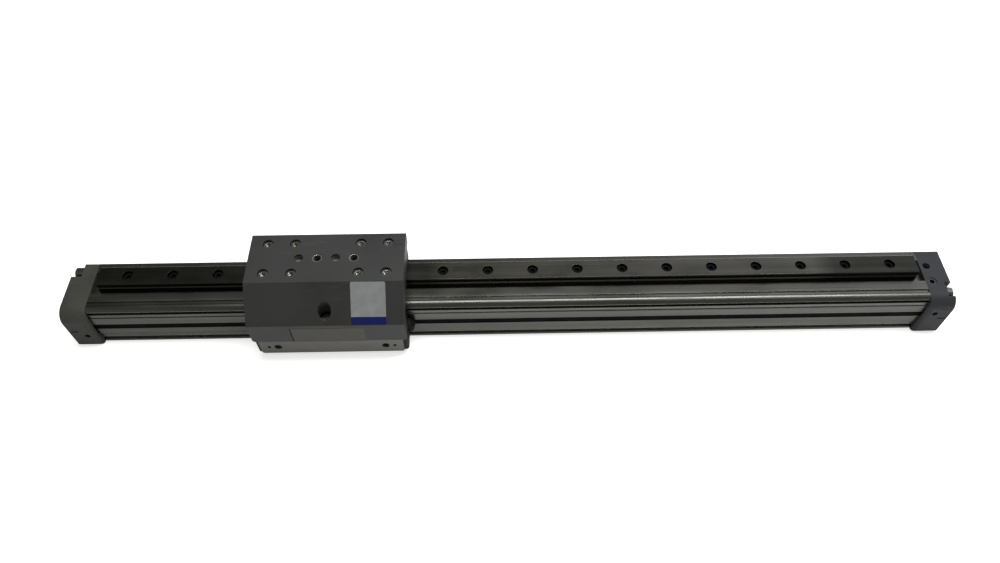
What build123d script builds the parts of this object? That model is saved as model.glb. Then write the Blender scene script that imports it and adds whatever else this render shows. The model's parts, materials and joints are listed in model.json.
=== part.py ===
"""Rodless pneumatic cylinder with a miniature ball guide on its back.

Frame, in millimetres: +X along the stroke, -Y towards the side with the piston slot,
+Z up. The origin is the middle of the surface that the cylinder lies on. The screws,
notches and ports of one end cap are those of the other turned half a turn about Y, so a
side of +1 or -1 places both.
"""

import os
from math import floor

from build123d import *

os.makedirs("parts", exist_ok=True)

# Travel and lengths
STROKE = 350.0
CARRIAGE_REST_X = -99.5
CARRIAGE_LENGTH = 85.0
CAP_THICKNESS = 14.2
PISTON_HALF_LENGTH = 54.0
PISTON_END_GAP = 0.25
CAP_BOSS_LENGTH = 3.5
CAVITY_MARGIN = PISTON_HALF_LENGTH + CAP_BOSS_LENGTH + PISTON_END_GAP
BARREL_LENGTH = STROKE + 2 * CAVITY_MARGIN
SIDES = ((-1, "left"), (1, "right"))

# Fits
PRESS_GAP = 0.02
RUNNING_GAP = 0.05
SCREW_HEAD_GAP = 0.25

# Barrel profile
BODY_HEIGHT = 30.3
PROFILE_FRONT_Y = -12.3
PROFILE_BACK_Y = 20.8
PROFILE_WIDTH = PROFILE_BACK_Y - PROFILE_FRONT_Y
PROFILE_TOP_RADIUS = 4.0
PROFILE_FOOT_RADIUS = 0.6
PROFILE_BACK_RADIUS = 1.0
MID_Z = BODY_HEIGHT / 2
BORE_DIAMETER = 18.0
BORE_Y = 0.9
SLOT_WIDTH = 2.8
OUTER_SEAT_WIDTH = 4.2
OUTER_SEAT_DEPTH = 1.3
INNER_SEAT_WIDTH = 5.0
INNER_SEAT_DEPTH = 0.55
LAND_HALF_HEIGHT = 8.0
LAND_STEP = 0.35
FRONT_GROOVE_WIDTH = 2.2
FRONT_GROOVE_OFFSET = 11.9
FRONT_GROOVE_DEPTH = 1.8
TOP_GROOVE_WIDTH = 2.0
TOP_GROOVE_Y = -6.9
TOP_GROOVE_DEPTH = 0.7
SENSOR_MOUTH = 3.2
SENSOR_LIP = 1.2
SENSOR_WIDTH = 5.4
SENSOR_DEPTH = 2.4
AIR_DUCT_DIAMETER = 3.6
AIR_DUCT_Y = 13.4

# Guide rail and its screws
RAIL_Y = 8.1
RAIL_WIDTH = 12.0
RAIL_HEIGHT = 8.0
RAIL_SEAT_DEPTH = 2.8
RAIL_END_GAP = 4.5
RAIL_LENGTH = BARREL_LENGTH - 2 * RAIL_END_GAP
RAIL_HOLE_PITCH = 25.0
RAIL_HOLE_SHIFT_X = 0.5
RAIL_MIN_MARGIN = 8.0
RAIL_HOLE_COUNT = floor((RAIL_LENGTH - 2 * RAIL_MIN_MARGIN) / RAIL_HOLE_PITCH) + 1
RAIL_COUNTERBORE_DIAMETER = 6.0
RAIL_COUNTERBORE_DEPTH = 4.5
RAIL_HOLE_DIAMETER = 3.5
RAIL_EDGE_CHAMFER = 0.4
RAIL_BASE_Z = BODY_HEIGHT - RAIL_SEAT_DEPTH
RAIL_TOP_Z = RAIL_BASE_Z + RAIL_HEIGHT
BALL_DIAMETER = 1.588
BALL_ABOVE_BASE = 4.6
BALL_OUTSET = 0.25
BALL_GROOVE_RADIUS = BALL_DIAMETER / 2 + PRESS_GAP
BALL_COUNT = 4

# Small screws
M3_SHANK = 3.0
M3_HEAD = 5.5
M3_HEAD_HEIGHT = 3.0
M3_SOCKET = 2.5
M3_LENGTH_RAIL = 8.0
M3_LENGTH_SLIDE = 8.0
M4_SHANK = 4.0
M4_HEAD = 7.0
M4_HEAD_HEIGHT = 4.0
M4_SOCKET = 3.0
M4_LENGTH_CAP = 20.0
M4_LENGTH_DRIVER = 16.0
M5_CORE = 4.2

# End caps
CAP_OVERHANG = 3.2
CAP_FRONT_Y = PROFILE_FRONT_Y - CAP_OVERHANG
CAP_TOP_RADIUS = 8.0
CAP_FOOT_RADIUS = 2.5
CAP_INNER_RADIUS = 3.0
CAP_BACK_RADIUS = 1.0
CAP_EDGE_CHAMFER = 0.6
CAP_INNER_X = BARREL_LENGTH / 2
CAP_OUTER_X = CAP_INNER_X + CAP_THICKNESS
FIXING_FRONT_Y = -5.8
FIXING_BACK_Y = 15.8
FIXING_FROM_FACE = 4.75
FIXING_OFFSET_Z = BODY_HEIGHT / 2 - FIXING_FROM_FACE
FIXING_NOTCH_WIDTH = 9.2
FIXING_NOTCH_DEPTH = 4.1
FIXING_NOTCH_GAP = 0.3
CUSHION_Y = 17.2
CUSHION_NOTCH_WIDTH = 9.1
CUSHION_NOTCH_DEPTH = 6.2
CUSHION_SCREW_DIAMETER = 5.0
CUSHION_HEAD_DIAMETER = 7.0
CUSHION_SCREW_DEPTH = 5.5
CUSHION_SCREW_SINK = 0.5
PORT_FROM_INNER = 3.9
PORT_OPEN_Y = 10.1
PORT_PLUGGED_Y = -0.6
PORT_DEPTH = 9.0
PLUG_DIAMETER = 5.2
PLUG_LENGTH = 4.0
PLUG_SINK = 0.4
SLIT_LENGTH = 6.0
SLIT_HEIGHT = 0.9
SLIT_DEPTH = 5.0
SCREW_SLOT_WIDTH = 0.9
SPIGOT_DIAMETER = 6.0
SPIGOT_BORE = 3.0
SPIGOT_REACH = 16.0
SPIGOT_SEAT = 8.0
CAP_SEAL_THICKNESS = 1.2

# Sealing bands and their clamps
OUTER_BAND_WIDTH = 3.8
OUTER_BAND_THICKNESS = 0.5
OUTER_BAND_SINK = 0.3
INNER_BAND_WIDTH = 4.6
INNER_BAND_THICKNESS = 0.3
BAND_IN_CAP = 8.0
CLAMP_SCREW_X = CAP_INNER_X + 5.0
CLAMP_SCREW_OFFSET_Z = 4.6
CLAMP_SCREW_DIAMETER = 3.0
CLAMP_SCREW_SINK = 0.7
CLAMP_THICKNESS = 1.0
CLAMP_LENGTH = 7.0

# Piston, its neck and the tunnels for the bands
CORE_RADIUS = 8.2
CORE_HALF_LENGTH = 30.0
STUB_RADIUS = 5.0
STUB_LENGTH = 5.0
NECK_HALF_LENGTH = 22.0
NECK_THICKNESS = 2.4
NECK_DEPTH_Y = -2.8
NECK_END_GAP = 0.5
NECK_PIN_DIAMETER = 2.0
NECK_PIN_COVER = 0.8
NECK_PIN_LENGTH = 9.0
NECK_PIN_SPACING = 28.0
INNER_BAND_DIP_Y = -2.0
RAMP_START = 23.5
RAMP_END = 38.0
OUTER_BAND_LIFT_Y = -14.2
TUNNEL_CLEARANCE = 0.35
HEAD_GAP = 0.12
HEAD_RADIUS = BORE_DIAMETER / 2 - HEAD_GAP
CUSHION_BORE = 8.0
CUSHION_BORE_DEPTH = 17.5
SEAL_GROOVE_DEPTH = 1.6
SEAL_WIDTH = 3.0
SEAL_FROM_END = 2.0
MAGNET_WIDTH = 1.8
WEAR_RING_WIDTH = 4.0
RING_SPACING = 1.4

# Yoke, driver block and wipers
YOKE_LENGTH = 80.0
YOKE_GAP = 0.3
YOKE_BASE_THICKNESS = 5.3
YOKE_BASE_HEIGHT = 20.8
FLANGE_DEPTH = 6.6
FLANGE_TOP_Z = 16.0
FLANGE_BOTTOM_Z = 4.0
FLANGE_CORNER_RADIUS = 1.5
FLANGE_HOLE_Z = 10.3
FLANGE_HOLE_SPACING = 60.0
FLANGE_HOLE_DEPTH = 8.0
FLANGE_PIN_SPACING = 70.0
FLANGE_PIN_DIAMETER = 2.0
FLANGE_PIN_DEPTH = 4.0
DRIVER_WIDTH = 40.0
DRIVER_REAR_Z = 18.5
DRIVER_LEDGE_GAP = 2.3
DRIVER_LEFT_GAP = 0.5
DRIVER_TOP_GAP = 0.25
DRIVER_HEAD_SINK = 0.7
WIPER_THICKNESS = 2.4
WIPER_CORNER_RADIUS = 2.5
WIPER_END_RADIUS = 3.0
WIPER_NOSE_LENGTH = 4.1
WIPER_NOSE_RADIUS = 4.6
WIPER_NOSE_DEPTH = 4.0
WIPER_NOSE_TAPER = 10
WIPER_PEG_DIAMETER = 2.5
WIPER_PEG_LENGTH = 3.0

# Guide blocks
BLOCK_SPACING = 51.0
BLOCK_WIDTH = 27.0
BLOCK_STEEL_LENGTH = 21.7
BLOCK_CAP_LENGTH = 5.0
BLOCK_SEAL_LENGTH = 1.0
BLOCK_TOTAL_HEIGHT = 13.0
BLOCK_UNDER_GAP = 3.4
BLOCK_RAIL_GAP = 0.5
BLOCK_CHAMFER = 0.8
BLOCK_HOLES_X = 15.0
BLOCK_HOLES_Y = 20.0
RETURN_HOLE_DIAMETER = 1.9
RETURN_HOLE_OFFSET = 9.6
RETURN_HOLE_RISE = 0.8
SEAL_LIP_GAP = 0.15

# Slide plate and what is on it
PLATE_THICKNESS = 8.5
PLATE_FRONT_REACH = 16.0
PLATE_BACK_REACH = 16.8
SLOPE_SIZE = 17.0
LEG_THICKNESS = 6.7
LEG_BOTTOM_GAP = 0.5
LEG_CORNER_RADIUS = 2.0
LEDGE_DROP = 9.0
INNER_WALL_GAP = 1.0
PLATE_EDGE_RADIUS = 1.0
SLIDE_HEAD_SINK = 1.0
SLIDE_PLATE_GRIP = PLATE_THICKNESS - SLIDE_HEAD_SINK - M3_HEAD_HEIGHT
CENTRE_HOLE_PITCH = 10.0
CENTRING_DIAMETER = 5.0
CENTRING_DEPTH = 4.0
INSERT_DIAMETER = 5.6
INSERT_SINK = 0.3
ACCESS_DIAMETER = 7.2
ACCESS_Y = -19.0
NAME_PLATE_LENGTH = 18.7
NAME_PLATE_HEIGHT = 23.3
NAME_PLATE_THICKNESS = 0.25
NAME_PLATE_X = 23.6
NAME_PLATE_TILT = -0.5

# Places worked out from the sizes above
PLATE_TOP_Z = RAIL_BASE_Z + BLOCK_TOTAL_HEIGHT + PLATE_THICKNESS
PLATE_UNDER_Z = PLATE_TOP_Z - PLATE_THICKNESS
PLATE_BACK_Y = RAIL_Y + PLATE_BACK_REACH
PLATE_FRONT_Y = RAIL_Y - PLATE_FRONT_REACH
LEG_FRONT_Y = PLATE_FRONT_Y - SLOPE_SIZE
LEG_BACK_Y = LEG_FRONT_Y + LEG_THICKNESS
LEG_BOTTOM_Z = FLANGE_TOP_Z + LEG_BOTTOM_GAP
LEDGE_Z = PLATE_UNDER_Z - LEDGE_DROP
BASE_BACK_Y = PROFILE_FRONT_Y - YOKE_GAP
BASE_FRONT_Y = BASE_BACK_Y - YOKE_BASE_THICKNESS
FLANGE_FRONT_Y = BASE_FRONT_Y - FLANGE_DEPTH
DRIVER_TOP_Z = LEDGE_Z - DRIVER_LEDGE_GAP
DRIVER_FRONT_Y = LEG_FRONT_Y + PRESS_GAP
OUTER_BAND_Y = PROFILE_FRONT_Y + OUTER_BAND_SINK
INNER_SEAT_Y = BORE_Y - BORE_DIAMETER / 2 - INNER_SEAT_DEPTH
RING_PLACES = {
    "seal": PISTON_HALF_LENGTH - SEAL_FROM_END - SEAL_WIDTH,
    "magnet": PISTON_HALF_LENGTH - SEAL_FROM_END - SEAL_WIDTH - RING_SPACING - MAGNET_WIDTH,
    "wear": PISTON_HALF_LENGTH
    - SEAL_FROM_END
    - SEAL_WIDTH
    - 2 * RING_SPACING
    - MAGNET_WIDTH
    - WEAR_RING_WIDTH,
}
RING_WIDTHS = {"seal": SEAL_WIDTH, "magnet": MAGNET_WIDTH, "wear": WEAR_RING_WIDTH}


def save(piece, node):
    """Label a finished piece and write it as the node of that name."""
    piece.part.label = node
    export_step(piece.part, f"parts/{node}.step")


def at_x(x):
    """Sketch plane across the cylinder: local x is Y, local y is Z, normal +X."""
    return Plane.YZ.offset(x)


def at_y(y):
    """Sketch plane facing the viewer: local x is X, local y is Z, normal -Y."""
    return Plane.XZ.offset(-y)


def box_between(x_span, y_span, z_span, mode=Mode.ADD):
    """Box given by its two limits along each axis."""
    spans = (x_span, y_span, z_span)
    centre = [(low + high) / 2 for low, high in spans]
    size = [abs(high - low) for low, high in spans]
    with Locations(tuple(centre)):
        Box(*size, mode=mode)


def rod_along_x(x, y, z, diameter, length, mode=Mode.ADD):
    """Round rod or hole along X, starting at x and running by length (signed)."""
    with Locations((x + length / 2, y, z)):
        Cylinder(diameter / 2, abs(length), rotation=(0, 90, 0), mode=mode)


def socket_screws_down(places, top_z, shank, head, head_height, socket, length):
    """Socket head screws pointing down, heads topped at top_z."""
    with BuildPart() as screws:
        with BuildSketch(Plane.XY.offset(top_z)):
            with Locations(*places):
                Circle(head / 2)
        extrude(amount=-head_height)
        with BuildSketch(Plane.XY.offset(top_z - head_height)):
            with Locations(*places):
                Circle(shank / 2)
        extrude(amount=-length)
        with BuildSketch(Plane.XY.offset(top_z)):
            with Locations(*places):
                RegularPolygon(socket / 2, 6, major_radius=False)
        extrude(amount=-head_height / 2, mode=Mode.SUBTRACT)
    return screws


def rail_hole_xs():
    """X of every rail hole, evenly spaced about a place near the middle."""
    first = RAIL_HOLE_SHIFT_X - (RAIL_HOLE_COUNT - 1) / 2 * RAIL_HOLE_PITCH
    return [first + RAIL_HOLE_PITCH * index for index in range(RAIL_HOLE_COUNT)]


def fixing_places(side):
    """Y and Z of the three screws that hold one end cap; the first lies in the notch."""
    near_z = MID_Z + side * FIXING_OFFSET_Z
    far_z = MID_Z - side * FIXING_OFFSET_Z
    return [(FIXING_FRONT_Y, near_z), (FIXING_FRONT_Y, far_z), (FIXING_BACK_Y, near_z)]


def cushion_place(side):
    """Y and Z of the cushioning screw of one end cap."""
    return (CUSHION_Y, MID_Z - side * FIXING_OFFSET_Z)


def band_outline(flat_y, lifted_y, thickness, half_length):
    """Side view of a sealing band with one lifted stretch at the carriage."""
    stations = (
        (-half_length, flat_y),
        (CARRIAGE_REST_X - RAMP_END, flat_y),
        (CARRIAGE_REST_X - RAMP_START, lifted_y),
        (CARRIAGE_REST_X + RAMP_START, lifted_y),
        (CARRIAGE_REST_X + RAMP_END, flat_y),
        (half_length, flat_y),
    )
    upper = [(x, y + thickness) for x, y in reversed(stations)]
    return list(stations) + upper


def ramp_relief(lifted_y, flat_y, outer_y):
    """Side view of the cut that lets a band climb from its seat, for x above zero."""
    return (
        (RAMP_START, lifted_y),
        (RAMP_END + 1, flat_y),
        (RAMP_END + 1, outer_y),
        (RAMP_START, outer_y),
    )


# Barrel profile, an extrusion with bore, slot, screw channels and sensor slots
def sensor_slot(y, z, angle):
    """Undercut slot for position switches; the mouth faces angle 0 = +Y, -90 = -Z."""
    with Locations(Location((y, z), angle)):
        with Locations((-SENSOR_LIP / 2, 0)):
            Rectangle(SENSOR_LIP, SENSOR_MOUTH, mode=Mode.SUBTRACT)
        with Locations((-SENSOR_LIP - SENSOR_DEPTH / 2, 0)):
            Rectangle(SENSOR_DEPTH, SENSOR_WIDTH, mode=Mode.SUBTRACT)


with BuildPart() as barrel_profile:
    with BuildSketch(at_x(-BARREL_LENGTH / 2)):
        with Locations(((PROFILE_FRONT_Y + PROFILE_BACK_Y) / 2, MID_Z)):
            Rectangle(PROFILE_WIDTH, BODY_HEIGHT)
        foot_corner, top_corner = vertices().group_by(Axis.X)[0].sort_by(Axis.Y)
        fillet(foot_corner, PROFILE_FOOT_RADIUS)
        fillet(top_corner, PROFILE_TOP_RADIUS)
        fillet(vertices().group_by(Axis.X)[-1], PROFILE_BACK_RADIUS)
        for sign in (-1, 1):
            step_height = FRONT_GROOVE_OFFSET - LAND_HALF_HEIGHT
            with Locations((PROFILE_FRONT_Y, MID_Z + sign * (LAND_HALF_HEIGHT + step_height / 2))):
                Rectangle(2 * LAND_STEP, step_height, mode=Mode.SUBTRACT)
            with Locations((PROFILE_FRONT_Y, MID_Z + sign * FRONT_GROOVE_OFFSET)):
                Rectangle(2 * FRONT_GROOVE_DEPTH, FRONT_GROOVE_WIDTH, mode=Mode.SUBTRACT)
        with Locations((TOP_GROOVE_Y, BODY_HEIGHT)):
            Rectangle(TOP_GROOVE_WIDTH, 2 * TOP_GROOVE_DEPTH, mode=Mode.SUBTRACT)
        with Locations((RAIL_Y, BODY_HEIGHT)):
            Rectangle(RAIL_WIDTH + 2 * PRESS_GAP, 2 * RAIL_SEAT_DEPTH, mode=Mode.SUBTRACT)
        with Locations((BORE_Y, MID_Z)):
            Circle(BORE_DIAMETER / 2, mode=Mode.SUBTRACT)
        with Locations((PROFILE_FRONT_Y, MID_Z)):
            Rectangle(2 * OUTER_SEAT_DEPTH, OUTER_SEAT_WIDTH, mode=Mode.SUBTRACT)
            Rectangle(2 * (BORE_Y - PROFILE_FRONT_Y), SLOT_WIDTH, mode=Mode.SUBTRACT)
        with Locations(((INNER_SEAT_Y + BORE_Y) / 2, MID_Z)):
            Rectangle(BORE_Y - INNER_SEAT_Y, INNER_SEAT_WIDTH, mode=Mode.SUBTRACT)
        sensor_slot(PROFILE_BACK_Y, MID_Z, 0)
        sensor_slot(BORE_Y, 0, -90)
        with Locations((AIR_DUCT_Y, MID_Z)):
            Circle(AIR_DUCT_DIAMETER / 2, mode=Mode.SUBTRACT)
        with Locations(*sorted(set(fixing_places(1) + fixing_places(-1)))):
            Circle(M4_SHANK / 2 + PRESS_GAP, mode=Mode.SUBTRACT)
    extrude(amount=BARREL_LENGTH)
    with BuildSketch(Plane.XY.offset(RAIL_BASE_Z)):
        with Locations(*[(x, RAIL_Y) for x in rail_hole_xs()]):
            Circle(M3_SHANK / 2 + PRESS_GAP)
    extrude(amount=-(M3_LENGTH_RAIL - RAIL_HEIGHT + RAIL_COUNTERBORE_DEPTH), mode=Mode.SUBTRACT)
save(barrel_profile, "barrel_profile")

# Guide rail with a ball groove in each flank and a row of counterbored holes
with BuildPart() as guide_rail:
    with BuildSketch(at_x(-RAIL_LENGTH / 2)):
        with Locations((RAIL_Y, RAIL_BASE_Z + RAIL_HEIGHT / 2)):
            Rectangle(RAIL_WIDTH, RAIL_HEIGHT)
        chamfer(vertices().group_by(Axis.Y)[-1], RAIL_EDGE_CHAMFER)
        for sign in (-1, 1):
            ball_y = RAIL_Y + sign * (RAIL_WIDTH / 2 + BALL_OUTSET)
            with Locations((ball_y, RAIL_BASE_Z + BALL_ABOVE_BASE)):
                Circle(BALL_GROOVE_RADIUS, mode=Mode.SUBTRACT)
    extrude(amount=RAIL_LENGTH)
    with Locations(*[(x, RAIL_Y, RAIL_TOP_Z) for x in rail_hole_xs()]):
        CounterBoreHole(
            radius=RAIL_HOLE_DIAMETER / 2,
            counter_bore_radius=RAIL_COUNTERBORE_DIAMETER / 2,
            counter_bore_depth=RAIL_COUNTERBORE_DEPTH,
        )
save(guide_rail, "guide_rail")

rail_screws = socket_screws_down(
    [(x, RAIL_Y) for x in rail_hole_xs()],
    RAIL_TOP_Z - RAIL_COUNTERBORE_DEPTH + M3_HEAD_HEIGHT,
    M3_SHANK,
    M3_HEAD,
    M3_HEAD_HEIGHT,
    M3_SOCKET,
    M3_LENGTH_RAIL,
)
save(rail_screws, "rail_screws")


# End caps
def end_cap(side):
    """Cap with a boss in the bore, screw notches, ports and pockets for the bands."""
    inner_x = side * CAP_INNER_X
    outer_x = side * CAP_OUTER_X
    port_face_z = MID_Z + side * MID_Z
    port_x = side * (CAP_INNER_X + PORT_FROM_INNER)
    with BuildPart() as cap:
        with BuildSketch(at_x(inner_x)):
            with Locations(((CAP_FRONT_Y + PROFILE_BACK_Y) / 2, MID_Z)):
                Rectangle(PROFILE_BACK_Y - CAP_FRONT_Y, BODY_HEIGHT)
            foot_corner, top_corner = vertices().group_by(Axis.X)[0].sort_by(Axis.Y)
            fillet(foot_corner, CAP_FOOT_RADIUS)
            fillet(top_corner, CAP_TOP_RADIUS)
            fillet(vertices().group_by(Axis.X)[-1], CAP_BACK_RADIUS)
        extrude(amount=side * CAP_THICKNESS)
        chamfer(faces().sort_by(Axis.X)[-1 if side > 0 else 0].edges(), CAP_EDGE_CHAMFER)
        with BuildSketch(Plane.XY):
            with Locations((inner_x + side * CAP_INNER_RADIUS / 2, CAP_FRONT_Y + CAP_INNER_RADIUS / 2)):
                Rectangle(CAP_INNER_RADIUS, CAP_INNER_RADIUS)
            with Locations((inner_x + side * CAP_INNER_RADIUS, CAP_FRONT_Y + CAP_INNER_RADIUS)):
                Circle(CAP_INNER_RADIUS, mode=Mode.SUBTRACT)
        extrude(amount=BODY_HEIGHT, mode=Mode.SUBTRACT)
        boss = BORE_DIAMETER - 2 * RUNNING_GAP
        rod_along_x(inner_x, BORE_Y, MID_Z, boss, -side * CAP_BOSS_LENGTH)
        with BuildSketch(at_x(inner_x - side * (CAP_BOSS_LENGTH + CAP_SEAL_THICKNESS) / 2)):
            with Locations((BORE_Y, MID_Z)):
                Circle(boss / 2)
                Circle(boss / 2 - CAP_SEAL_THICKNESS, mode=Mode.SUBTRACT)
        extrude(amount=side * CAP_SEAL_THICKNESS, mode=Mode.SUBTRACT)
        spigot_hole = SPIGOT_DIAMETER + 2 * PRESS_GAP
        spigot_start = inner_x - side * CAP_BOSS_LENGTH
        rod_along_x(
            spigot_start, BORE_Y, MID_Z, spigot_hole, side * (CAP_BOSS_LENGTH + SPIGOT_SEAT), Mode.SUBTRACT
        )
        for place in fixing_places(side):
            rod_along_x(inner_x, *place, M4_SHANK + 2 * RUNNING_GAP, side * CAP_THICKNESS, Mode.SUBTRACT)
            head_hole = M4_HEAD + 2 * FIXING_NOTCH_GAP
            rod_along_x(outer_x, *place, head_hole, -side * FIXING_NOTCH_DEPTH, Mode.SUBTRACT)
        notch_y = FIXING_FRONT_Y
        box_between(
            (outer_x - side * FIXING_NOTCH_DEPTH, outer_x),
            (notch_y - FIXING_NOTCH_WIDTH / 2, notch_y + FIXING_NOTCH_WIDTH / 2),
            (MID_Z + side * (FIXING_OFFSET_Z - M4_HEAD / 2), port_face_z),
            Mode.SUBTRACT,
        )
        far_face_z = MID_Z - side * MID_Z
        box_between(
            (outer_x - side * CUSHION_NOTCH_DEPTH, outer_x),
            (PROFILE_BACK_Y - CUSHION_NOTCH_WIDTH, PROFILE_BACK_Y),
            (MID_Z - side * (FIXING_OFFSET_Z - M4_HEAD / 2 - FIXING_NOTCH_GAP), far_face_z),
            Mode.SUBTRACT,
        )
        rod_along_x(
            outer_x - side * CUSHION_NOTCH_DEPTH,
            *cushion_place(side),
            CUSHION_SCREW_DIAMETER + 2 * RUNNING_GAP,
            -side * CUSHION_SCREW_DEPTH,
            Mode.SUBTRACT,
        )
        with BuildSketch(Plane.XY.offset(port_face_z)):
            with Locations((port_x, PORT_OPEN_Y), (port_x, PORT_PLUGGED_Y)):
                Circle(M5_CORE / 2)
        extrude(amount=-side * PORT_DEPTH, mode=Mode.SUBTRACT)
        with BuildSketch(Plane.XY.offset(port_face_z)):
            with Locations((port_x, PORT_PLUGGED_Y)):
                Circle(PLUG_DIAMETER / 2 + PRESS_GAP)
        extrude(amount=-side * (PLUG_LENGTH + PLUG_SINK), mode=Mode.SUBTRACT)
        box_between(
            (outer_x - side * SLIT_LENGTH, outer_x),
            (CAP_FRONT_Y, CAP_FRONT_Y + SLIT_DEPTH),
            (MID_Z - SLIT_HEIGHT / 2, MID_Z + SLIT_HEIGHT / 2),
            Mode.SUBTRACT,
        )
        band_pocket_x = inner_x + side * (BAND_IN_CAP + PRESS_GAP)
        box_between(
            (inner_x - side * CAP_BOSS_LENGTH, band_pocket_x),
            (INNER_SEAT_Y, INNER_SEAT_Y + INNER_BAND_THICKNESS + 2 * PRESS_GAP),
            (MID_Z - INNER_BAND_WIDTH / 2 - PRESS_GAP, MID_Z + INNER_BAND_WIDTH / 2 + PRESS_GAP),
            Mode.SUBTRACT,
        )
        box_between(
            (inner_x, band_pocket_x),
            (OUTER_BAND_Y - CLAMP_THICKNESS - PRESS_GAP, OUTER_BAND_Y + OUTER_BAND_THICKNESS + PRESS_GAP),
            (
                MID_Z - OUTER_BAND_WIDTH / 2 - PRESS_GAP,
                MID_Z + OUTER_BAND_WIDTH / 2 + PRESS_GAP,
            ),
            Mode.SUBTRACT,
        )
        box_between(
            (inner_x, band_pocket_x),
            (OUTER_BAND_Y - CLAMP_THICKNESS - PRESS_GAP, OUTER_BAND_Y),
            (
                MID_Z,
                MID_Z + side * (CLAMP_SCREW_OFFSET_Z + CLAMP_SCREW_DIAMETER / 2 + PRESS_GAP),
            ),
            Mode.SUBTRACT,
        )
        with BuildSketch(at_y(CAP_FRONT_Y)):
            with Locations((side * CLAMP_SCREW_X, MID_Z + side * CLAMP_SCREW_OFFSET_Z)):
                Circle(CLAMP_SCREW_DIAMETER / 2 + PRESS_GAP)
        extrude(amount=-(OUTER_BAND_Y - CLAMP_THICKNESS - CAP_FRONT_Y), mode=Mode.SUBTRACT)
    return cap


def cushion_spigot(side):
    """Hollow spigot that the piston's cushion bore slides over near the end."""
    start_x = side * (CAP_INNER_X + SPIGOT_SEAT)
    length = SPIGOT_SEAT + SPIGOT_REACH
    with BuildPart() as spigot:
        rod_along_x(start_x, BORE_Y, MID_Z, SPIGOT_DIAMETER, -side * length)
        chamfer(faces().sort_by(Axis.X)[0 if side > 0 else -1].edges(), SPIGOT_BORE / 6)
        rod_along_x(start_x, BORE_Y, MID_Z, SPIGOT_BORE, -side * length, Mode.SUBTRACT)
    return spigot


def cushion_screw(side):
    """Slotted needle screw that throttles the exhaust air at the end of the stroke."""
    outer_x = side * (CAP_OUTER_X - CUSHION_SCREW_SINK)
    inner_x = side * (CAP_OUTER_X - CUSHION_NOTCH_DEPTH - CUSHION_SCREW_DEPTH + RUNNING_GAP)
    y, z = cushion_place(side)
    head_x = side * (CAP_OUTER_X - CUSHION_NOTCH_DEPTH + FIXING_NOTCH_GAP)
    with BuildPart() as screw:
        rod_along_x(inner_x, y, z, CUSHION_SCREW_DIAMETER, outer_x - inner_x)
        rod_along_x(head_x, y, z, CUSHION_HEAD_DIAMETER, outer_x - head_x)
        chamfer(faces().sort_by(Axis.X)[-1 if side > 0 else 0].edges(), SCREW_SLOT_WIDTH / 2)
        box_between(
            (outer_x - side * CUSHION_HEAD_DIAMETER / 4, outer_x),
            (y - CUSHION_HEAD_DIAMETER, y + CUSHION_HEAD_DIAMETER),
            (z - SCREW_SLOT_WIDTH / 2, z + SCREW_SLOT_WIDTH / 2),
            Mode.SUBTRACT,
        )
    return screw


def cap_screws(side):
    """Three socket head screws along X, seated in the notch and two counterbores."""
    seat_x = side * (CAP_OUTER_X - FIXING_NOTCH_DEPTH)
    with BuildPart() as screws:
        for place in fixing_places(side):
            rod_along_x(seat_x, *place, M4_HEAD, side * M4_HEAD_HEIGHT)
            rod_along_x(seat_x, *place, M4_SHANK, -side * M4_LENGTH_CAP)
            with BuildSketch(at_x(seat_x + side * M4_HEAD_HEIGHT)):
                with Locations(place):
                    RegularPolygon(M4_SOCKET / 2, 6, major_radius=False)
            extrude(amount=-side * M4_HEAD_HEIGHT / 2, mode=Mode.SUBTRACT)
    return screws


def cap_seal(side):
    """Sealing ring in the groove of the cap's boss."""
    start_x = side * CAP_INNER_X - side * (CAP_BOSS_LENGTH + CAP_SEAL_THICKNESS) / 2
    boss_radius = BORE_DIAMETER / 2 - RUNNING_GAP
    with BuildPart() as ring:
        with BuildSketch(at_x(start_x)):
            with Locations((BORE_Y, MID_Z)):
                Circle(boss_radius)
                Circle(boss_radius - CAP_SEAL_THICKNESS + PRESS_GAP, mode=Mode.SUBTRACT)
        extrude(amount=side * CAP_SEAL_THICKNESS)
        groove_y = INNER_SEAT_Y + INNER_BAND_THICKNESS + 2 * PRESS_GAP
        box_between(
            (start_x, start_x + side * CAP_SEAL_THICKNESS),
            (groove_y - CAP_SEAL_THICKNESS, groove_y),
            (MID_Z - INNER_BAND_WIDTH / 2 - PRESS_GAP, MID_Z + INNER_BAND_WIDTH / 2 + PRESS_GAP),
            Mode.SUBTRACT,
        )
    return ring


for side, name in SIDES:
    save(end_cap(side), f"end_cap_{name}")
    save(cap_screws(side), f"end_cap_screws_{name}")
    save(cap_seal(side), f"end_cap_seal_{name}")
    save(cushion_spigot(side), f"cushion_spigot_{name}")
    save(cushion_screw(side), f"cushion_screw_{name}")

with BuildPart() as port_plugs:
    for side, name in SIDES:
        face_z = MID_Z + side * (MID_Z - PLUG_SINK)
        place = (side * (CAP_INNER_X + PORT_FROM_INNER), PORT_PLUGGED_Y)
        with BuildSketch(Plane.XY.offset(face_z)):
            with Locations(place):
                Circle(PLUG_DIAMETER / 2)
        extrude(amount=-side * PLUG_LENGTH)
        with BuildSketch(Plane.XY.offset(face_z)):
            with Locations(place):
                RegularPolygon(M3_SOCKET / 2, 6, major_radius=False)
        extrude(amount=-side * PLUG_LENGTH / 2, mode=Mode.SUBTRACT)
save(port_plugs, "port_plugs")

# Sealing bands, lifted at the carriage, and what clamps them in the caps
BAND_HALF_LENGTH = CAP_INNER_X + BAND_IN_CAP

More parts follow.
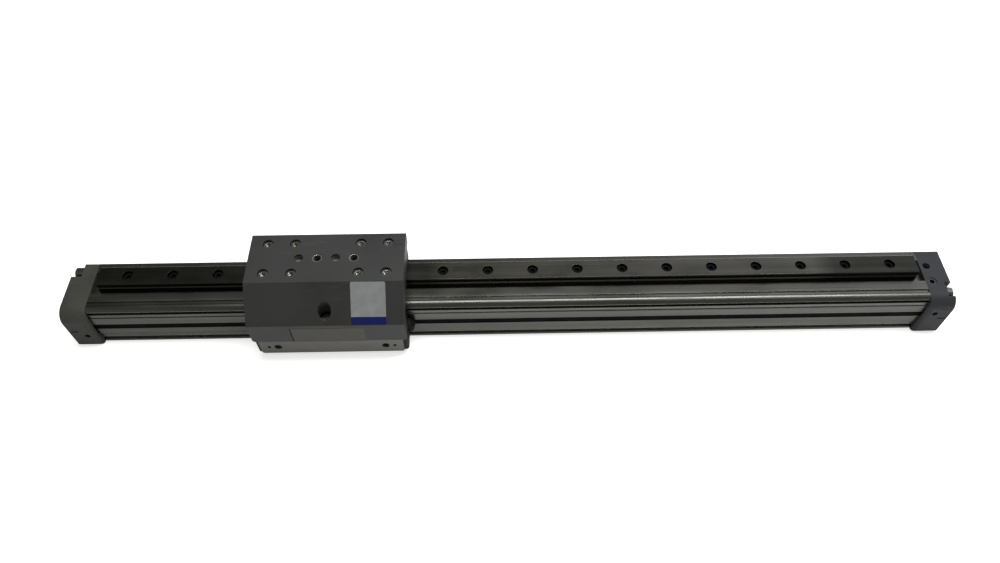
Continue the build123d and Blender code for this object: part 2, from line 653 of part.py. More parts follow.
with BuildPart() as outer_band:
    with BuildSketch(Plane.XY.offset(MID_Z - OUTER_BAND_WIDTH / 2)):
        with BuildLine():
            Polyline(
                *band_outline(OUTER_BAND_Y, OUTER_BAND_LIFT_Y, OUTER_BAND_THICKNESS, BAND_HALF_LENGTH),
                close=True,
            )
        make_face()
    extrude(amount=OUTER_BAND_WIDTH)
save(outer_band, "outer_band")

with BuildPart() as inner_band:
    with BuildSketch(Plane.XY.offset(MID_Z - INNER_BAND_WIDTH / 2)):
        with BuildLine():
            Polyline(
                *band_outline(
                    INNER_SEAT_Y + PRESS_GAP, INNER_BAND_DIP_Y, INNER_BAND_THICKNESS, BAND_HALF_LENGTH
                ),
                close=True,
            )
        make_face()
    extrude(amount=INNER_BAND_WIDTH)
save(inner_band, "inner_band")

with BuildPart() as band_clamps:
    for side, name in SIDES:
        start_x = side * (CAP_INNER_X + PRESS_GAP)
        low_z = MID_Z - side * (OUTER_BAND_WIDTH / 2 - PRESS_GAP)
        high_z = MID_Z + side * (CLAMP_SCREW_OFFSET_Z + CLAMP_SCREW_DIAMETER / 2 - PRESS_GAP)
        box_between(
            (start_x, start_x + side * CLAMP_LENGTH),
            (OUTER_BAND_Y - CLAMP_THICKNESS, OUTER_BAND_Y),
            (low_z, high_z),
        )
save(band_clamps, "band_clamps")

with BuildPart() as band_clamp_screws:
    for side, name in SIDES:
        place = (side * CLAMP_SCREW_X, MID_Z + side * CLAMP_SCREW_OFFSET_Z)
        length = OUTER_BAND_Y - CLAMP_THICKNESS - CAP_FRONT_Y - CLAMP_SCREW_SINK
        with BuildSketch(at_y(CAP_FRONT_Y + CLAMP_SCREW_SINK)):
            with Locations(place):
                Circle(CLAMP_SCREW_DIAMETER / 2)
                RegularPolygon(CLAMP_SCREW_DIAMETER / 4, 6, major_radius=False, mode=Mode.SUBTRACT)
        extrude(amount=-length / 2)
        with BuildSketch(at_y(CAP_FRONT_Y + CLAMP_SCREW_SINK + length / 2)):
            with Locations(place):
                Circle(CLAMP_SCREW_DIAMETER / 2)
        extrude(amount=-length / 2)
save(band_clamp_screws, "band_clamp_screws")

# Piston inside the bore
REST = CARRIAGE_REST_X
PIN_XS = (REST - NECK_PIN_SPACING / 2, REST + NECK_PIN_SPACING / 2)
PIN_Y = NECK_DEPTH_Y - NECK_PIN_COVER - NECK_PIN_DIAMETER / 2
TUNNEL_HALF_WIDTH = INNER_BAND_WIDTH / 2 + TUNNEL_CLEARANCE

with BuildPart() as piston_core:
    rod_along_x(REST - CORE_HALF_LENGTH, BORE_Y, MID_Z, 2 * CORE_RADIUS, 2 * CORE_HALF_LENGTH)
    stub_reach = CORE_HALF_LENGTH + STUB_LENGTH
    rod_along_x(REST - stub_reach, BORE_Y, MID_Z, 2 * STUB_RADIUS, 2 * stub_reach)
    box_between(
        (REST - CORE_HALF_LENGTH, REST + CORE_HALF_LENGTH),
        (
            INNER_BAND_DIP_Y - TUNNEL_CLEARANCE,
            INNER_BAND_DIP_Y + INNER_BAND_THICKNESS + TUNNEL_CLEARANCE,
        ),
        (MID_Z - TUNNEL_HALF_WIDTH, MID_Z + TUNNEL_HALF_WIDTH),
        Mode.SUBTRACT,
    )
    neck_reach = NECK_HALF_LENGTH + PRESS_GAP
    box_between(
        (REST - neck_reach, REST + neck_reach),
        (BORE_Y - BORE_DIAMETER, NECK_DEPTH_Y + PRESS_GAP),
        (MID_Z - NECK_THICKNESS / 2 - PRESS_GAP, MID_Z + NECK_THICKNESS / 2 + PRESS_GAP),
        Mode.SUBTRACT,
    )
    for sign in (-1, 1):
        box_between(
            (REST + sign * (NECK_HALF_LENGTH + NECK_END_GAP), REST + sign * CORE_HALF_LENGTH),
            (BORE_Y - BORE_DIAMETER, INNER_BAND_DIP_Y),
            (MID_Z - TUNNEL_HALF_WIDTH, MID_Z + TUNNEL_HALF_WIDTH),
            Mode.SUBTRACT,
        )
    with BuildSketch(Plane.XY.offset(MID_Z - NECK_PIN_LENGTH / 2)):
        with Locations(*[(x, PIN_Y) for x in PIN_XS]):
            Circle(NECK_PIN_DIAMETER / 2 + PRESS_GAP)
    extrude(amount=NECK_PIN_LENGTH, mode=Mode.SUBTRACT)
save(piston_core, "piston_core")

with BuildPart() as neck_pins:
    with BuildSketch(Plane.XY.offset(MID_Z - NECK_PIN_LENGTH / 2)):
        with Locations(*[(x, PIN_Y) for x in PIN_XS]):
            Circle(NECK_PIN_DIAMETER / 2)
    extrude(amount=NECK_PIN_LENGTH)
save(neck_pins, "neck_pins")


def piston_head(side):
    """Plastic head with grooves for its rings, a cushion bore and a ramp for the band."""
    inner_x = REST + side * CORE_HALF_LENGTH
    end_x = REST + side * PISTON_HALF_LENGTH
    with BuildPart() as head:
        rod_along_x(inner_x, BORE_Y, MID_Z, 2 * HEAD_RADIUS, end_x - inner_x)
        chamfer(faces().sort_by(Axis.X)[-1 if side > 0 else 0].edges(), SEAL_FROM_END / 2)
        for ring, start in RING_PLACES.items():
            with BuildSketch(at_x(REST + side * start)):
                with Locations((BORE_Y, MID_Z)):
                    Circle(BORE_DIAMETER / 2)
                    Circle(HEAD_RADIUS - SEAL_GROOVE_DEPTH, mode=Mode.SUBTRACT)
            extrude(amount=side * RING_WIDTHS[ring], mode=Mode.SUBTRACT)
        socket = 2 * (STUB_RADIUS + PRESS_GAP)
        rod_along_x(inner_x, BORE_Y, MID_Z, socket, side * (STUB_LENGTH + PRESS_GAP), Mode.SUBTRACT)
        rod_along_x(end_x, BORE_Y, MID_Z, CUSHION_BORE, -side * CUSHION_BORE_DEPTH, Mode.SUBTRACT)
        relief = ramp_relief(
            INNER_BAND_DIP_Y + INNER_BAND_THICKNESS + TUNNEL_CLEARANCE,
            INNER_SEAT_Y + INNER_BAND_THICKNESS + TUNNEL_CLEARANCE,
            BORE_Y - BORE_DIAMETER,
        )
        with BuildSketch(Plane.XY.offset(MID_Z - TUNNEL_HALF_WIDTH)):
            with BuildLine():
                Polyline(*[(REST + side * x, y) for x, y in relief], close=True)
            make_face()
        extrude(amount=2 * TUNNEL_HALF_WIDTH, mode=Mode.SUBTRACT)
    return head


def piston_ring(side, ring, outer_radius):
    """Ring seated in one of the grooves of a piston head."""
    start_x = REST + side * RING_PLACES[ring]
    with BuildPart() as piece:
        with BuildSketch(at_x(start_x)):
            with Locations((BORE_Y, MID_Z)):
                Circle(outer_radius)
                Circle(HEAD_RADIUS - SEAL_GROOVE_DEPTH + PRESS_GAP, mode=Mode.SUBTRACT)
        extrude(amount=side * RING_WIDTHS[ring])
    return piece


def cushion_seal(side):
    """Lip ring at the mouth of the cushion bore, clear of the spigot."""
    end_x = REST + side * (PISTON_HALF_LENGTH - SEAL_FROM_END)
    with BuildPart() as ring:
        with BuildSketch(at_x(end_x)):
            with Locations((BORE_Y, MID_Z)):
                Circle(CUSHION_BORE / 2 - PRESS_GAP)
                Circle(SPIGOT_DIAMETER / 2 + RUNNING_GAP, mode=Mode.SUBTRACT)
        extrude(amount=-side * SEAL_FROM_END)
    return ring


for side, name in SIDES:
    save(piston_head(side), f"piston_head_{name}")
    save(piston_ring(side, "seal", BORE_DIAMETER / 2 - RUNNING_GAP), f"piston_seal_{name}")
    save(piston_ring(side, "magnet", HEAD_RADIUS), f"piston_magnet_{name}")
    save(piston_ring(side, "wear", BORE_DIAMETER / 2 - RUNNING_GAP), f"wear_ring_{name}")
    save(cushion_seal(side), f"cushion_seal_{name}")

# Yoke outside the barrel, with the neck that reaches through the slot to the piston
YOKE_HALF = YOKE_LENGTH / 2
BASE_LOW_Z = MID_Z - YOKE_BASE_HEIGHT / 2
BASE_HIGH_Z = MID_Z + YOKE_BASE_HEIGHT / 2
DRIVER_HALF = DRIVER_WIDTH / 2
BAND_TUNNEL_HALF = OUTER_BAND_WIDTH / 2 + TUNNEL_CLEARANCE
BAND_TUNNEL_FRONT_Y = OUTER_BAND_LIFT_Y - TUNNEL_CLEARANCE
BAND_TUNNEL_BACK_Y = OUTER_BAND_LIFT_Y + OUTER_BAND_THICKNESS + TUNNEL_CLEARANCE
DRIVER_HEAD_TOP_Z = DRIVER_TOP_Z - DRIVER_HEAD_SINK


def yoke_section():
    """Outline of the base and the flange below it, across the cylinder."""
    Polygon(
        (BASE_BACK_Y, BASE_LOW_Z),
        (BASE_BACK_Y, BASE_HIGH_Z),
        (BASE_FRONT_Y, BASE_HIGH_Z),
        (BASE_FRONT_Y, FLANGE_TOP_Z),
        (FLANGE_FRONT_Y, FLANGE_TOP_Z),
        (FLANGE_FRONT_Y, FLANGE_BOTTOM_Z),
        (BASE_FRONT_Y, FLANGE_BOTTOM_Z),
        (BASE_FRONT_Y, BASE_LOW_Z),
        align=None,
    )


with BuildPart() as yoke:
    with BuildSketch(at_x(REST - YOKE_HALF)):
        yoke_section()
    extrude(amount=YOKE_LENGTH)
    fillet(edges().filter_by(Axis.Y).group_by(Axis.Z)[0], FLANGE_CORNER_RADIUS)
    box_between(
        (REST - DRIVER_HALF - PRESS_GAP, REST + DRIVER_HALF + PRESS_GAP),
        (BASE_FRONT_Y, BASE_BACK_Y),
        (DRIVER_REAR_Z - PRESS_GAP, BASE_HIGH_Z),
        Mode.SUBTRACT,
    )
    box_between(
        (REST - YOKE_HALF, REST + YOKE_HALF),
        (BAND_TUNNEL_FRONT_Y, BAND_TUNNEL_BACK_Y),
        (MID_Z - BAND_TUNNEL_HALF, MID_Z + BAND_TUNNEL_HALF),
        Mode.SUBTRACT,
    )
    for sign in (-1, 1):
        box_between(
            (REST + sign * (NECK_HALF_LENGTH + NECK_END_GAP), REST + sign * YOKE_HALF),
            (BAND_TUNNEL_FRONT_Y, BASE_BACK_Y),
            (MID_Z - BAND_TUNNEL_HALF, MID_Z + BAND_TUNNEL_HALF),
            Mode.SUBTRACT,
        )
    box_between(
        (REST - NECK_HALF_LENGTH, REST + NECK_HALF_LENGTH),
        (BAND_TUNNEL_BACK_Y, NECK_DEPTH_Y),
        (MID_Z - NECK_THICKNESS / 2, MID_Z + NECK_THICKNESS / 2),
    )
    with BuildSketch(Plane.XY.offset(MID_Z - NECK_PIN_LENGTH / 2)):
        with Locations(*[(x, PIN_Y) for x in PIN_XS]):
            Circle(NECK_PIN_DIAMETER / 2 + PRESS_GAP)
    extrude(amount=NECK_PIN_LENGTH, mode=Mode.SUBTRACT)
    with BuildSketch(at_y(FLANGE_FRONT_Y)):
        with Locations((REST, FLANGE_HOLE_Z)):
            with GridLocations(FLANGE_HOLE_SPACING, 0, 2, 1):
                Circle(M5_CORE / 2)
    extrude(amount=-FLANGE_HOLE_DEPTH, mode=Mode.SUBTRACT)
    with BuildSketch(at_y(FLANGE_FRONT_Y)):
        with Locations((REST, FLANGE_HOLE_Z)):
            with GridLocations(FLANGE_PIN_SPACING, 0, 2, 1):
                Circle(FLANGE_PIN_DIAMETER / 2)
    extrude(amount=-FLANGE_PIN_DEPTH, mode=Mode.SUBTRACT)
    with BuildSketch(Plane.XY.offset(DRIVER_REAR_Z)):
        with Locations((REST, ACCESS_Y)):
            Circle(M4_SHANK / 2 + PRESS_GAP)
    screw_bottom_z = DRIVER_HEAD_TOP_Z - M4_HEAD_HEIGHT - M4_LENGTH_DRIVER
    extrude(amount=-(DRIVER_REAR_Z - screw_bottom_z), mode=Mode.SUBTRACT)
    for sign in (-1, 1):
        peg_z = FLANGE_HOLE_Z - WIPER_PEG_DIAMETER
        rod_along_x(
            REST + sign * YOKE_HALF,
            (BASE_FRONT_Y + FLANGE_FRONT_Y) / 2,
            peg_z,
            WIPER_PEG_DIAMETER + 2 * PRESS_GAP,
            -sign * WIPER_PEG_LENGTH,
            Mode.SUBTRACT,
        )
save(yoke, "yoke")

with BuildPart() as driver_block:
    box_between(
        (REST - DRIVER_HALF + DRIVER_LEFT_GAP, REST + DRIVER_HALF - PRESS_GAP),
        (DRIVER_FRONT_Y, BASE_FRONT_Y),
        (FLANGE_TOP_Z, DRIVER_TOP_Z),
    )
    box_between(
        (REST - DRIVER_HALF + DRIVER_LEFT_GAP, REST + DRIVER_HALF - PRESS_GAP),
        (BASE_FRONT_Y, BASE_BACK_Y - YOKE_GAP),
        (DRIVER_REAR_Z, DRIVER_TOP_Z),
    )
    with Locations((REST, ACCESS_Y, DRIVER_TOP_Z)):
        CounterBoreHole(
            radius=M4_SHANK / 2 + RUNNING_GAP,
            counter_bore_radius=M4_HEAD / 2 + RUNNING_GAP,
            counter_bore_depth=DRIVER_TOP_Z - DRIVER_HEAD_TOP_Z + M4_HEAD_HEIGHT,
        )
save(driver_block, "driver_block")

driver_screw = socket_screws_down(
    [(REST, ACCESS_Y)],
    DRIVER_HEAD_TOP_Z,
    M4_SHANK,
    M4_HEAD,
    M4_HEAD_HEIGHT,
    M4_SOCKET,
    M4_LENGTH_DRIVER,
)
save(driver_screw, "driver_screw")


def wiper(side):
    """Plastic end piece of the yoke, with a nose that wipes the cover band."""
    start_x = REST + side * YOKE_HALF
    end_x = start_x + side * WIPER_THICKNESS
    nose_x = end_x + side * (WIPER_NOSE_LENGTH - WIPER_NOSE_RADIUS)
    with BuildPart() as piece:
        with BuildSketch(at_x(start_x)):
            yoke_section()
            fillet(vertices().group_by(Axis.X)[0].sort_by(Axis.Y)[0], WIPER_CORNER_RADIUS)
        extrude(amount=side * WIPER_THICKNESS)
        with BuildSketch(Plane.XY.offset(FLANGE_BOTTOM_Z)):
            corner_y = FLANGE_FRONT_Y + WIPER_END_RADIUS
            with Locations((end_x - side * WIPER_THICKNESS / 2, FLANGE_FRONT_Y + WIPER_END_RADIUS / 2)):
                Rectangle(WIPER_THICKNESS, WIPER_END_RADIUS)
            with Locations((end_x - side * WIPER_END_RADIUS, corner_y)):
                Circle(WIPER_END_RADIUS, mode=Mode.SUBTRACT)
        extrude(amount=FLANGE_TOP_Z - FLANGE_BOTTOM_Z, mode=Mode.SUBTRACT)
        with BuildSketch(at_y(BASE_BACK_Y)):
            with Locations((nose_x, MID_Z)):
                Circle(WIPER_NOSE_RADIUS)
            with Locations((start_x - side * WIPER_NOSE_RADIUS, MID_Z)):
                Rectangle(2 * WIPER_NOSE_RADIUS, 2 * WIPER_NOSE_RADIUS, mode=Mode.SUBTRACT)
        extrude(amount=WIPER_NOSE_DEPTH, taper=WIPER_NOSE_TAPER)
        rod_along_x(
            start_x,
            (BASE_FRONT_Y + FLANGE_FRONT_Y) / 2,
            FLANGE_HOLE_Z - WIPER_PEG_DIAMETER,
            WIPER_PEG_DIAMETER,
            -side * (WIPER_PEG_LENGTH - PRESS_GAP),
        )
    return piece


for side, name in SIDES:
    save(wiper(side), f"wiper_{name}")

# Ball guide blocks
BLOCK_BOTTOM_Z = RAIL_BASE_Z + BLOCK_UNDER_GAP
BALL_Z = RAIL_BASE_Z + BALL_ABOVE_BASE
BALL_Y = RAIL_WIDTH / 2 + BALL_OUTSET


def block_section(rail_gap, with_grooves):
    """Upside-down U across the rail; the steel one has a ball groove in each arm."""
    height = PLATE_UNDER_Z - BLOCK_BOTTOM_Z
    channel_height = RAIL_TOP_Z + rail_gap - BLOCK_BOTTOM_Z
    with Locations((RAIL_Y, BLOCK_BOTTOM_Z + height / 2)):
        Rectangle(BLOCK_WIDTH, height)
    chamfer(vertices().group_by(Axis.Y)[-1], BLOCK_CHAMFER)
    with Locations((RAIL_Y, BLOCK_BOTTOM_Z + channel_height / 2)):
        Rectangle(RAIL_WIDTH + 2 * rail_gap, channel_height, mode=Mode.SUBTRACT)
    if with_grooves:
        for sign in (-1, 1):
            with Locations((RAIL_Y + sign * BALL_Y, BALL_Z)):
                Circle(BALL_GROOVE_RADIUS, mode=Mode.SUBTRACT)
            with Locations((RAIL_Y + sign * RETURN_HOLE_OFFSET, BALL_Z + RETURN_HOLE_RISE)):
                Circle(RETURN_HOLE_DIAMETER / 2, mode=Mode.SUBTRACT)


def block_screw_places(side):
    """X and Y of the four screws that hold the plate to one block."""
    centre = REST + side * BLOCK_SPACING / 2
    return [
        (centre + x * BLOCK_HOLES_X / 2, RAIL_Y + y * BLOCK_HOLES_Y / 2)
        for x in (-1, 1)
        for y in (-1, 1)
    ]


def bearing_block(side):
    """Steel body of one guide block, tapped for the plate screws."""
    centre = REST + side * BLOCK_SPACING / 2
    with BuildPart() as block:
        with BuildSketch(at_x(centre - BLOCK_STEEL_LENGTH / 2)):
            block_section(BLOCK_RAIL_GAP, True)
        extrude(amount=BLOCK_STEEL_LENGTH)
        with BuildSketch(Plane.XY.offset(PLATE_UNDER_Z)):
            with Locations(*block_screw_places(side)):
                Circle(M3_SHANK / 2 + PRESS_GAP)
        extrude(amount=-(M3_LENGTH_SLIDE - SLIDE_PLATE_GRIP), mode=Mode.SUBTRACT)
    return block


def block_end_pieces(side, start, length, rail_gap):
    """Pair of end pieces of one block, start from its middle, of the same section."""
    centre = REST + side * BLOCK_SPACING / 2
    with BuildPart() as pieces:
        for sign in (-1, 1):
            with BuildSketch(at_x(centre + sign * start)):
                block_section(rail_gap, False)
            extrude(amount=sign * length)
    return pieces


def bearing_balls(side):
    """Load-carrying balls between the rail and one block."""
    centre = REST + side * BLOCK_SPACING / 2
    pitch = BLOCK_STEEL_LENGTH / BALL_COUNT
    with BuildPart() as balls:
        with Locations((centre, RAIL_Y, BALL_Z)):
            with GridLocations(pitch, 2 * BALL_Y, BALL_COUNT, 2):
                Sphere(BALL_DIAMETER / 2)
    return balls


for side, name in SIDES:
    steel_half = BLOCK_STEEL_LENGTH / 2
    save(bearing_block(side), f"bearing_block_{name}")
    save(bearing_balls(side), f"bearing_balls_{name}")
    end_caps = block_end_pieces(side, steel_half, BLOCK_CAP_LENGTH, BLOCK_RAIL_GAP)
    save(end_caps, f"block_end_caps_{name}")
    end_seals = block_end_pieces(
        side, steel_half + BLOCK_CAP_LENGTH, BLOCK_SEAL_LENGTH, SEAL_LIP_GAP
    )
    save(end_seals, f"block_end_seals_{name}")

# Slide plate: flat top on the guide blocks, sloped face and a leg over the yoke
INNER_WALL_Y = RAIL_Y - BLOCK_WIDTH / 2 - INNER_WALL_GAP

with BuildPart() as slide_plate:
    with BuildSketch(at_x(REST - CARRIAGE_LENGTH / 2)):
        with BuildLine():
            Polyline(
                (PLATE_BACK_Y, PLATE_UNDER_Z),
                (PLATE_BACK_Y, PLATE_TOP_Z),
                (PLATE_FRONT_Y, PLATE_TOP_Z),
                (LEG_FRONT_Y, PLATE_TOP_Z - SLOPE_SIZE),
                (LEG_FRONT_Y, LEG_BOTTOM_Z),
                (LEG_BACK_Y, LEG_BOTTOM_Z),
                (LEG_BACK_Y, LEDGE_Z),
                (INNER_WALL_Y, LEDGE_Z),
                (INNER_WALL_Y, PLATE_UNDER_Z),
                close=True,
            )
        make_face()
        top_back = vertices().group_by(Axis.Y)[-1].sort_by(Axis.X)[-1]
        fillet(top_back, PLATE_EDGE_RADIUS)
    extrude(amount=CARRIAGE_LENGTH)
    fillet(edges().filter_by(Axis.Y).group_by(Axis.Z)[0], LEG_CORNER_RADIUS)
    box_between(
        (REST - DRIVER_HALF, REST + DRIVER_HALF),
        (LEG_FRONT_Y, LEG_BACK_Y),
        (LEG_BOTTOM_Z, DRIVER_TOP_Z + DRIVER_TOP_GAP),
        Mode.SUBTRACT,
    )
    plate_screws = block_screw_places(-1) + block_screw_places(1)
    with Locations(*[(x, y, PLATE_TOP_Z) for x, y in plate_screws]):
        CounterBoreHole(
            radius=M3_SHANK / 2 + RUNNING_GAP,
            counter_bore_radius=M3_HEAD / 2 + SCREW_HEAD_GAP,
            counter_bore_depth=SLIDE_HEAD_SINK + M3_HEAD_HEIGHT,
            depth=PLATE_THICKNESS,
        )
    with BuildSketch(Plane.XY.offset(PLATE_TOP_Z)):
        with Locations(
            (REST - 1.5 * CENTRE_HOLE_PITCH, RAIL_Y), (REST + 0.5 * CENTRE_HOLE_PITCH, RAIL_Y)
        ):
            Circle(CENTRING_DIAMETER / 2)
    extrude(amount=-CENTRING_DEPTH, mode=Mode.SUBTRACT)
    with BuildSketch(Plane.XY.offset(PLATE_TOP_Z)):
        with Locations(
            (REST - 0.5 * CENTRE_HOLE_PITCH, RAIL_Y), (REST + 1.5 * CENTRE_HOLE_PITCH, RAIL_Y)
        ):
            Circle(INSERT_DIAMETER / 2 + PRESS_GAP)
    extrude(amount=-PLATE_THICKNESS, mode=Mode.SUBTRACT)
    with BuildSketch(Plane.XY.offset(DRIVER_TOP_Z)):
        with Locations((REST, ACCESS_Y)):
            Circle(ACCESS_DIAMETER / 2)
    extrude(amount=PLATE_TOP_Z - DRIVER_TOP_Z, mode=Mode.SUBTRACT)
save(slide_plate, "slide_plate")

slide_screws = socket_screws_down(
    plate_screws,
    PLATE_TOP_Z - SLIDE_HEAD_SINK,
    M3_SHANK,
    M3_HEAD,
    M3_HEAD_HEIGHT,
    M3_SOCKET,
    M3_LENGTH_SLIDE,
)
save(slide_screws, "slide_screws")

with BuildPart() as thread_inserts:
    with BuildSketch(Plane.XY.offset(PLATE_TOP_Z - INSERT_SINK)):
        with Locations(
            (REST - 0.5 * CENTRE_HOLE_PITCH, RAIL_Y), (REST + 1.5 * CENTRE_HOLE_PITCH, RAIL_Y)
        ):
            Circle(INSERT_DIAMETER / 2)
            Circle(M5_CORE / 2, mode=Mode.SUBTRACT)
    extrude(amount=-(PLATE_THICKNESS - 2 * INSERT_SINK))
save(thread_inserts, "thread_inserts")

# Blank name plate on the slope, tilted a little as it was stuck on
SLOPE_MIDDLE = Vector(
    REST + NAME_PLATE_X, PLATE_FRONT_Y - SLOPE_SIZE / 2, PLATE_TOP_Z - SLOPE_SIZE / 2
)
slope_plane = Plane(origin=SLOPE_MIDDLE, x_dir=(1, 0, 0), z_dir=(0, -1, 1))

with BuildPart() as name_plate:
    with BuildSketch(slope_plane):
        Rectangle(NAME_PLATE_LENGTH, NAME_PLATE_HEIGHT, rotation=NAME_PLATE_TILT)
    extrude(amount=NAME_PLATE_THICKNESS)
save(name_plate, "name_plate")
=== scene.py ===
"""Looks of a rodless pneumatic cylinder: finishes, rounded bodies, bands, plate, threads, light.

Everything is in metres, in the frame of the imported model, unless a name or comment says mm.
"""

import json
import math

import bmesh
import bpy
from mathutils import Matrix, Vector


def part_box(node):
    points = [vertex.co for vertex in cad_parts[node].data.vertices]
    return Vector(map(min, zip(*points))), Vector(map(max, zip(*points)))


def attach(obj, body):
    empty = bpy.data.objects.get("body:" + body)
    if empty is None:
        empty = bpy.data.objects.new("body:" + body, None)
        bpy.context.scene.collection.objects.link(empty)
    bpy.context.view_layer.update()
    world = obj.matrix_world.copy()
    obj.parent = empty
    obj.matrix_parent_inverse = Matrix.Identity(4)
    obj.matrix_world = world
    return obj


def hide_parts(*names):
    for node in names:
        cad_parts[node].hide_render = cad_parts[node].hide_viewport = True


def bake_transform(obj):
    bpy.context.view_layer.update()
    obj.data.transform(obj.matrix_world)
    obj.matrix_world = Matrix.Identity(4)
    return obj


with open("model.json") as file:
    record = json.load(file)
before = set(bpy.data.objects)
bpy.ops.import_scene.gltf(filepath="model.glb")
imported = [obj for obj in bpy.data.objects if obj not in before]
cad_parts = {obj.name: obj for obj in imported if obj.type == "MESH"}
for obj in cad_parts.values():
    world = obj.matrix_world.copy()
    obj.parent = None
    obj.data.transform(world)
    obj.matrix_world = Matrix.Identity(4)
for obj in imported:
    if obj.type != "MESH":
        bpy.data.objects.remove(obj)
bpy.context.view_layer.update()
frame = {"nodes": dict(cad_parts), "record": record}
NODES = frame["nodes"]
MM = 0.001


# Node helpers
def add(tree, kind, inputs=None, **settings):
    """New shader node with its settings and its inputs, each a value or a socket."""
    made = tree.nodes.new(kind)
    for key, value in settings.items():
        setattr(made, key, value)
    for key, value in (inputs or {}).items():
        if isinstance(value, bpy.types.NodeSocket):
            tree.links.new(value, made.inputs[key])
        else:
            made.inputs[key].default_value = value
    return made


def new_surface(name, metallic, specular=0.5):
    """Material with only a Principled shader, returned with its tree and shader."""
    material = bpy.data.materials.new(name)
    material.use_nodes = True
    shader = material.node_tree.nodes["Principled BSDF"]
    shader.inputs["Metallic"].default_value = metallic
    shader.inputs["Specular IOR Level"].default_value = specular
    return material, material.node_tree, shader


def noise(tree, scale, stretch=(1, 1, 1), detail=4.0, shift=0.0):
    """Noise over the object's own coordinates, scale per metre, stretched per axis."""
    place = add(tree, "ShaderNodeTexCoord")
    mapped = add(
        tree,
        "ShaderNodeMapping",
        {"Vector": place.outputs["Object"], "Scale": stretch, "Location": (shift, shift, shift)},
    )
    made = add(
        tree,
        "ShaderNodeTexNoise",
        {"Vector": mapped.outputs["Vector"], "Scale": scale, "Detail": detail},
    )
    return made.outputs["Fac"]


def spread(tree, value, low, high, start=0.35, end=0.65):
    """Maps the middle of a noise onto the range low to high."""
    made = add(
        tree,
        "ShaderNodeMapRange",
        {"Value": value, "From Min": start, "From Max": end, "To Min": low, "To Max": high},
    )
    return made.outputs["Result"]


def blend_colours(tree, amount, first, second):
    """Mix of two colours, each a tuple or a socket."""
    made = add(tree, "ShaderNodeMix", data_type="RGBA")
    for key, value in ((0, amount), (6, first), (7, second)):
        if isinstance(value, bpy.types.NodeSocket):
            tree.links.new(value, made.inputs[key])
        else:
            made.inputs[key].default_value = value
    return made.outputs[2]


def multiply(tree, first, second):
    """Product of two numbers."""
    return add(tree, "ShaderNodeMath", {0: first, 1: second}, operation="MULTIPLY").outputs[0]


def within(tree, value, low, high, soft):
    """1 where a coordinate lies between two limits, falling to 0 over a soft edge outside."""
    rising = spread(tree, value, 0.0, 1.0, low - soft, low)
    falling = spread(tree, value, 1.0, 0.0, high, high + soft)
    return multiply(tree, rising, falling)


def own_coordinates(tree):
    """The object's own X, Y and Z, in metres."""
    place = add(tree, "ShaderNodeTexCoord")
    return add(tree, "ShaderNodeSeparateXYZ", {0: place.outputs["Object"]}).outputs


def tinted(colour, factor):
    """Colour made lighter or darker."""
    return tuple(part * factor for part in colour[:3]) + (1.0,)


def rgb(red, green, blue):
    """Colour socket value from three linear parts."""
    return (red, green, blue, 1.0)


def round_edges(tree, shader, radius, height=None, strength=0.2, depth=0.00002):
    """Softened edge normals with an optional bump on top."""
    edges = add(tree, "ShaderNodeBevel", {"Radius": radius}, samples=6)
    normal = edges.outputs["Normal"]
    if height is not None:
        bump = add(
            tree,
            "ShaderNodeBump",
            {"Strength": strength, "Distance": depth, "Height": height, "Normal": normal},
        )
        normal = bump.outputs["Normal"]
    tree.links.new(normal, shader.inputs["Normal"])
    return edges.outputs["Normal"]


def edge_mask(tree, soft_normal, start=0.01, end=0.12):
    """1 along worn edges, where the softened normal leaves the true one."""
    true = add(tree, "ShaderNodeNewGeometry")
    along = add(
        tree,
        "ShaderNodeVectorMath",
        {0: soft_normal, 1: true.outputs["Normal"]},
        operation="DOT_PRODUCT",
    )
    away = add(tree, "ShaderNodeMath", {0: 1.0, 1: along.outputs["Value"]}, operation="SUBTRACT")
    return spread(tree, away.outputs[0], 0.0, 1.0, start, end)


# Metals
def drawn_metal(name, dark, light, roughness, lines=(), streak_scale=2600.0, grime=0.35):
    """Metal drawn, ground or extruded along X: fine lengthwise streaks, stains and bands of painted
    light and shade.

    Each line is a band of painted light or shade: an axis, its two limits in mm, the range it shows
    at across and a factor.
    """
    material, tree, shader = new_surface(name, 1.0)
    streaks = noise(tree, 1.0, (9.0, streak_scale, streak_scale), 5.0)
    broad = noise(tree, 1.0, (3.0, 260.0, 260.0), 3.0, 4.0)
    stains = noise(tree, 38.0, (1.0, 2.5, 2.5), 6.0, 9.0)
    both = add(tree, "ShaderNodeMath", {0: streaks, 1: broad}, operation="ADD")
    shade = spread(tree, both.outputs[0], 0.0, 1.0, 0.75, 1.25)
    metal = blend_colours(tree, shade, dark, light)
    amount = spread(tree, stains, 0.0, grime, 0.5, 0.72)
    metal = blend_colours(tree, amount, metal, tinted(dark, 0.62))
    axes = own_coordinates(tree)
    # Bands of painted light and shade: the streaked metal made lighter or darker inside each
    for axis, low, high, bottom, top, factor in lines:
        soft = (12.0 if axis == "X" else 0.2) * MM
        across = within(tree, axes[axis], low * MM, high * MM, soft)
        other = "Z" if axis == "Y" else "Y"
        where = multiply(tree, across, within(tree, axes[other], bottom * MM, top * MM, 0.2 * MM))
        toned = blend_colours(tree, shade, tinted(dark, factor), tinted(light, factor))
        metal = blend_colours(tree, where, metal, toned)
    tree.links.new(metal, shader.inputs["Base Color"])
    gloss = spread(tree, stains, roughness - 0.06, roughness + 0.08)
    tree.links.new(gloss, shader.inputs["Roughness"])
    round_edges(tree, shader, 0.00025, streaks, 0.03, 0.00002)
    return material


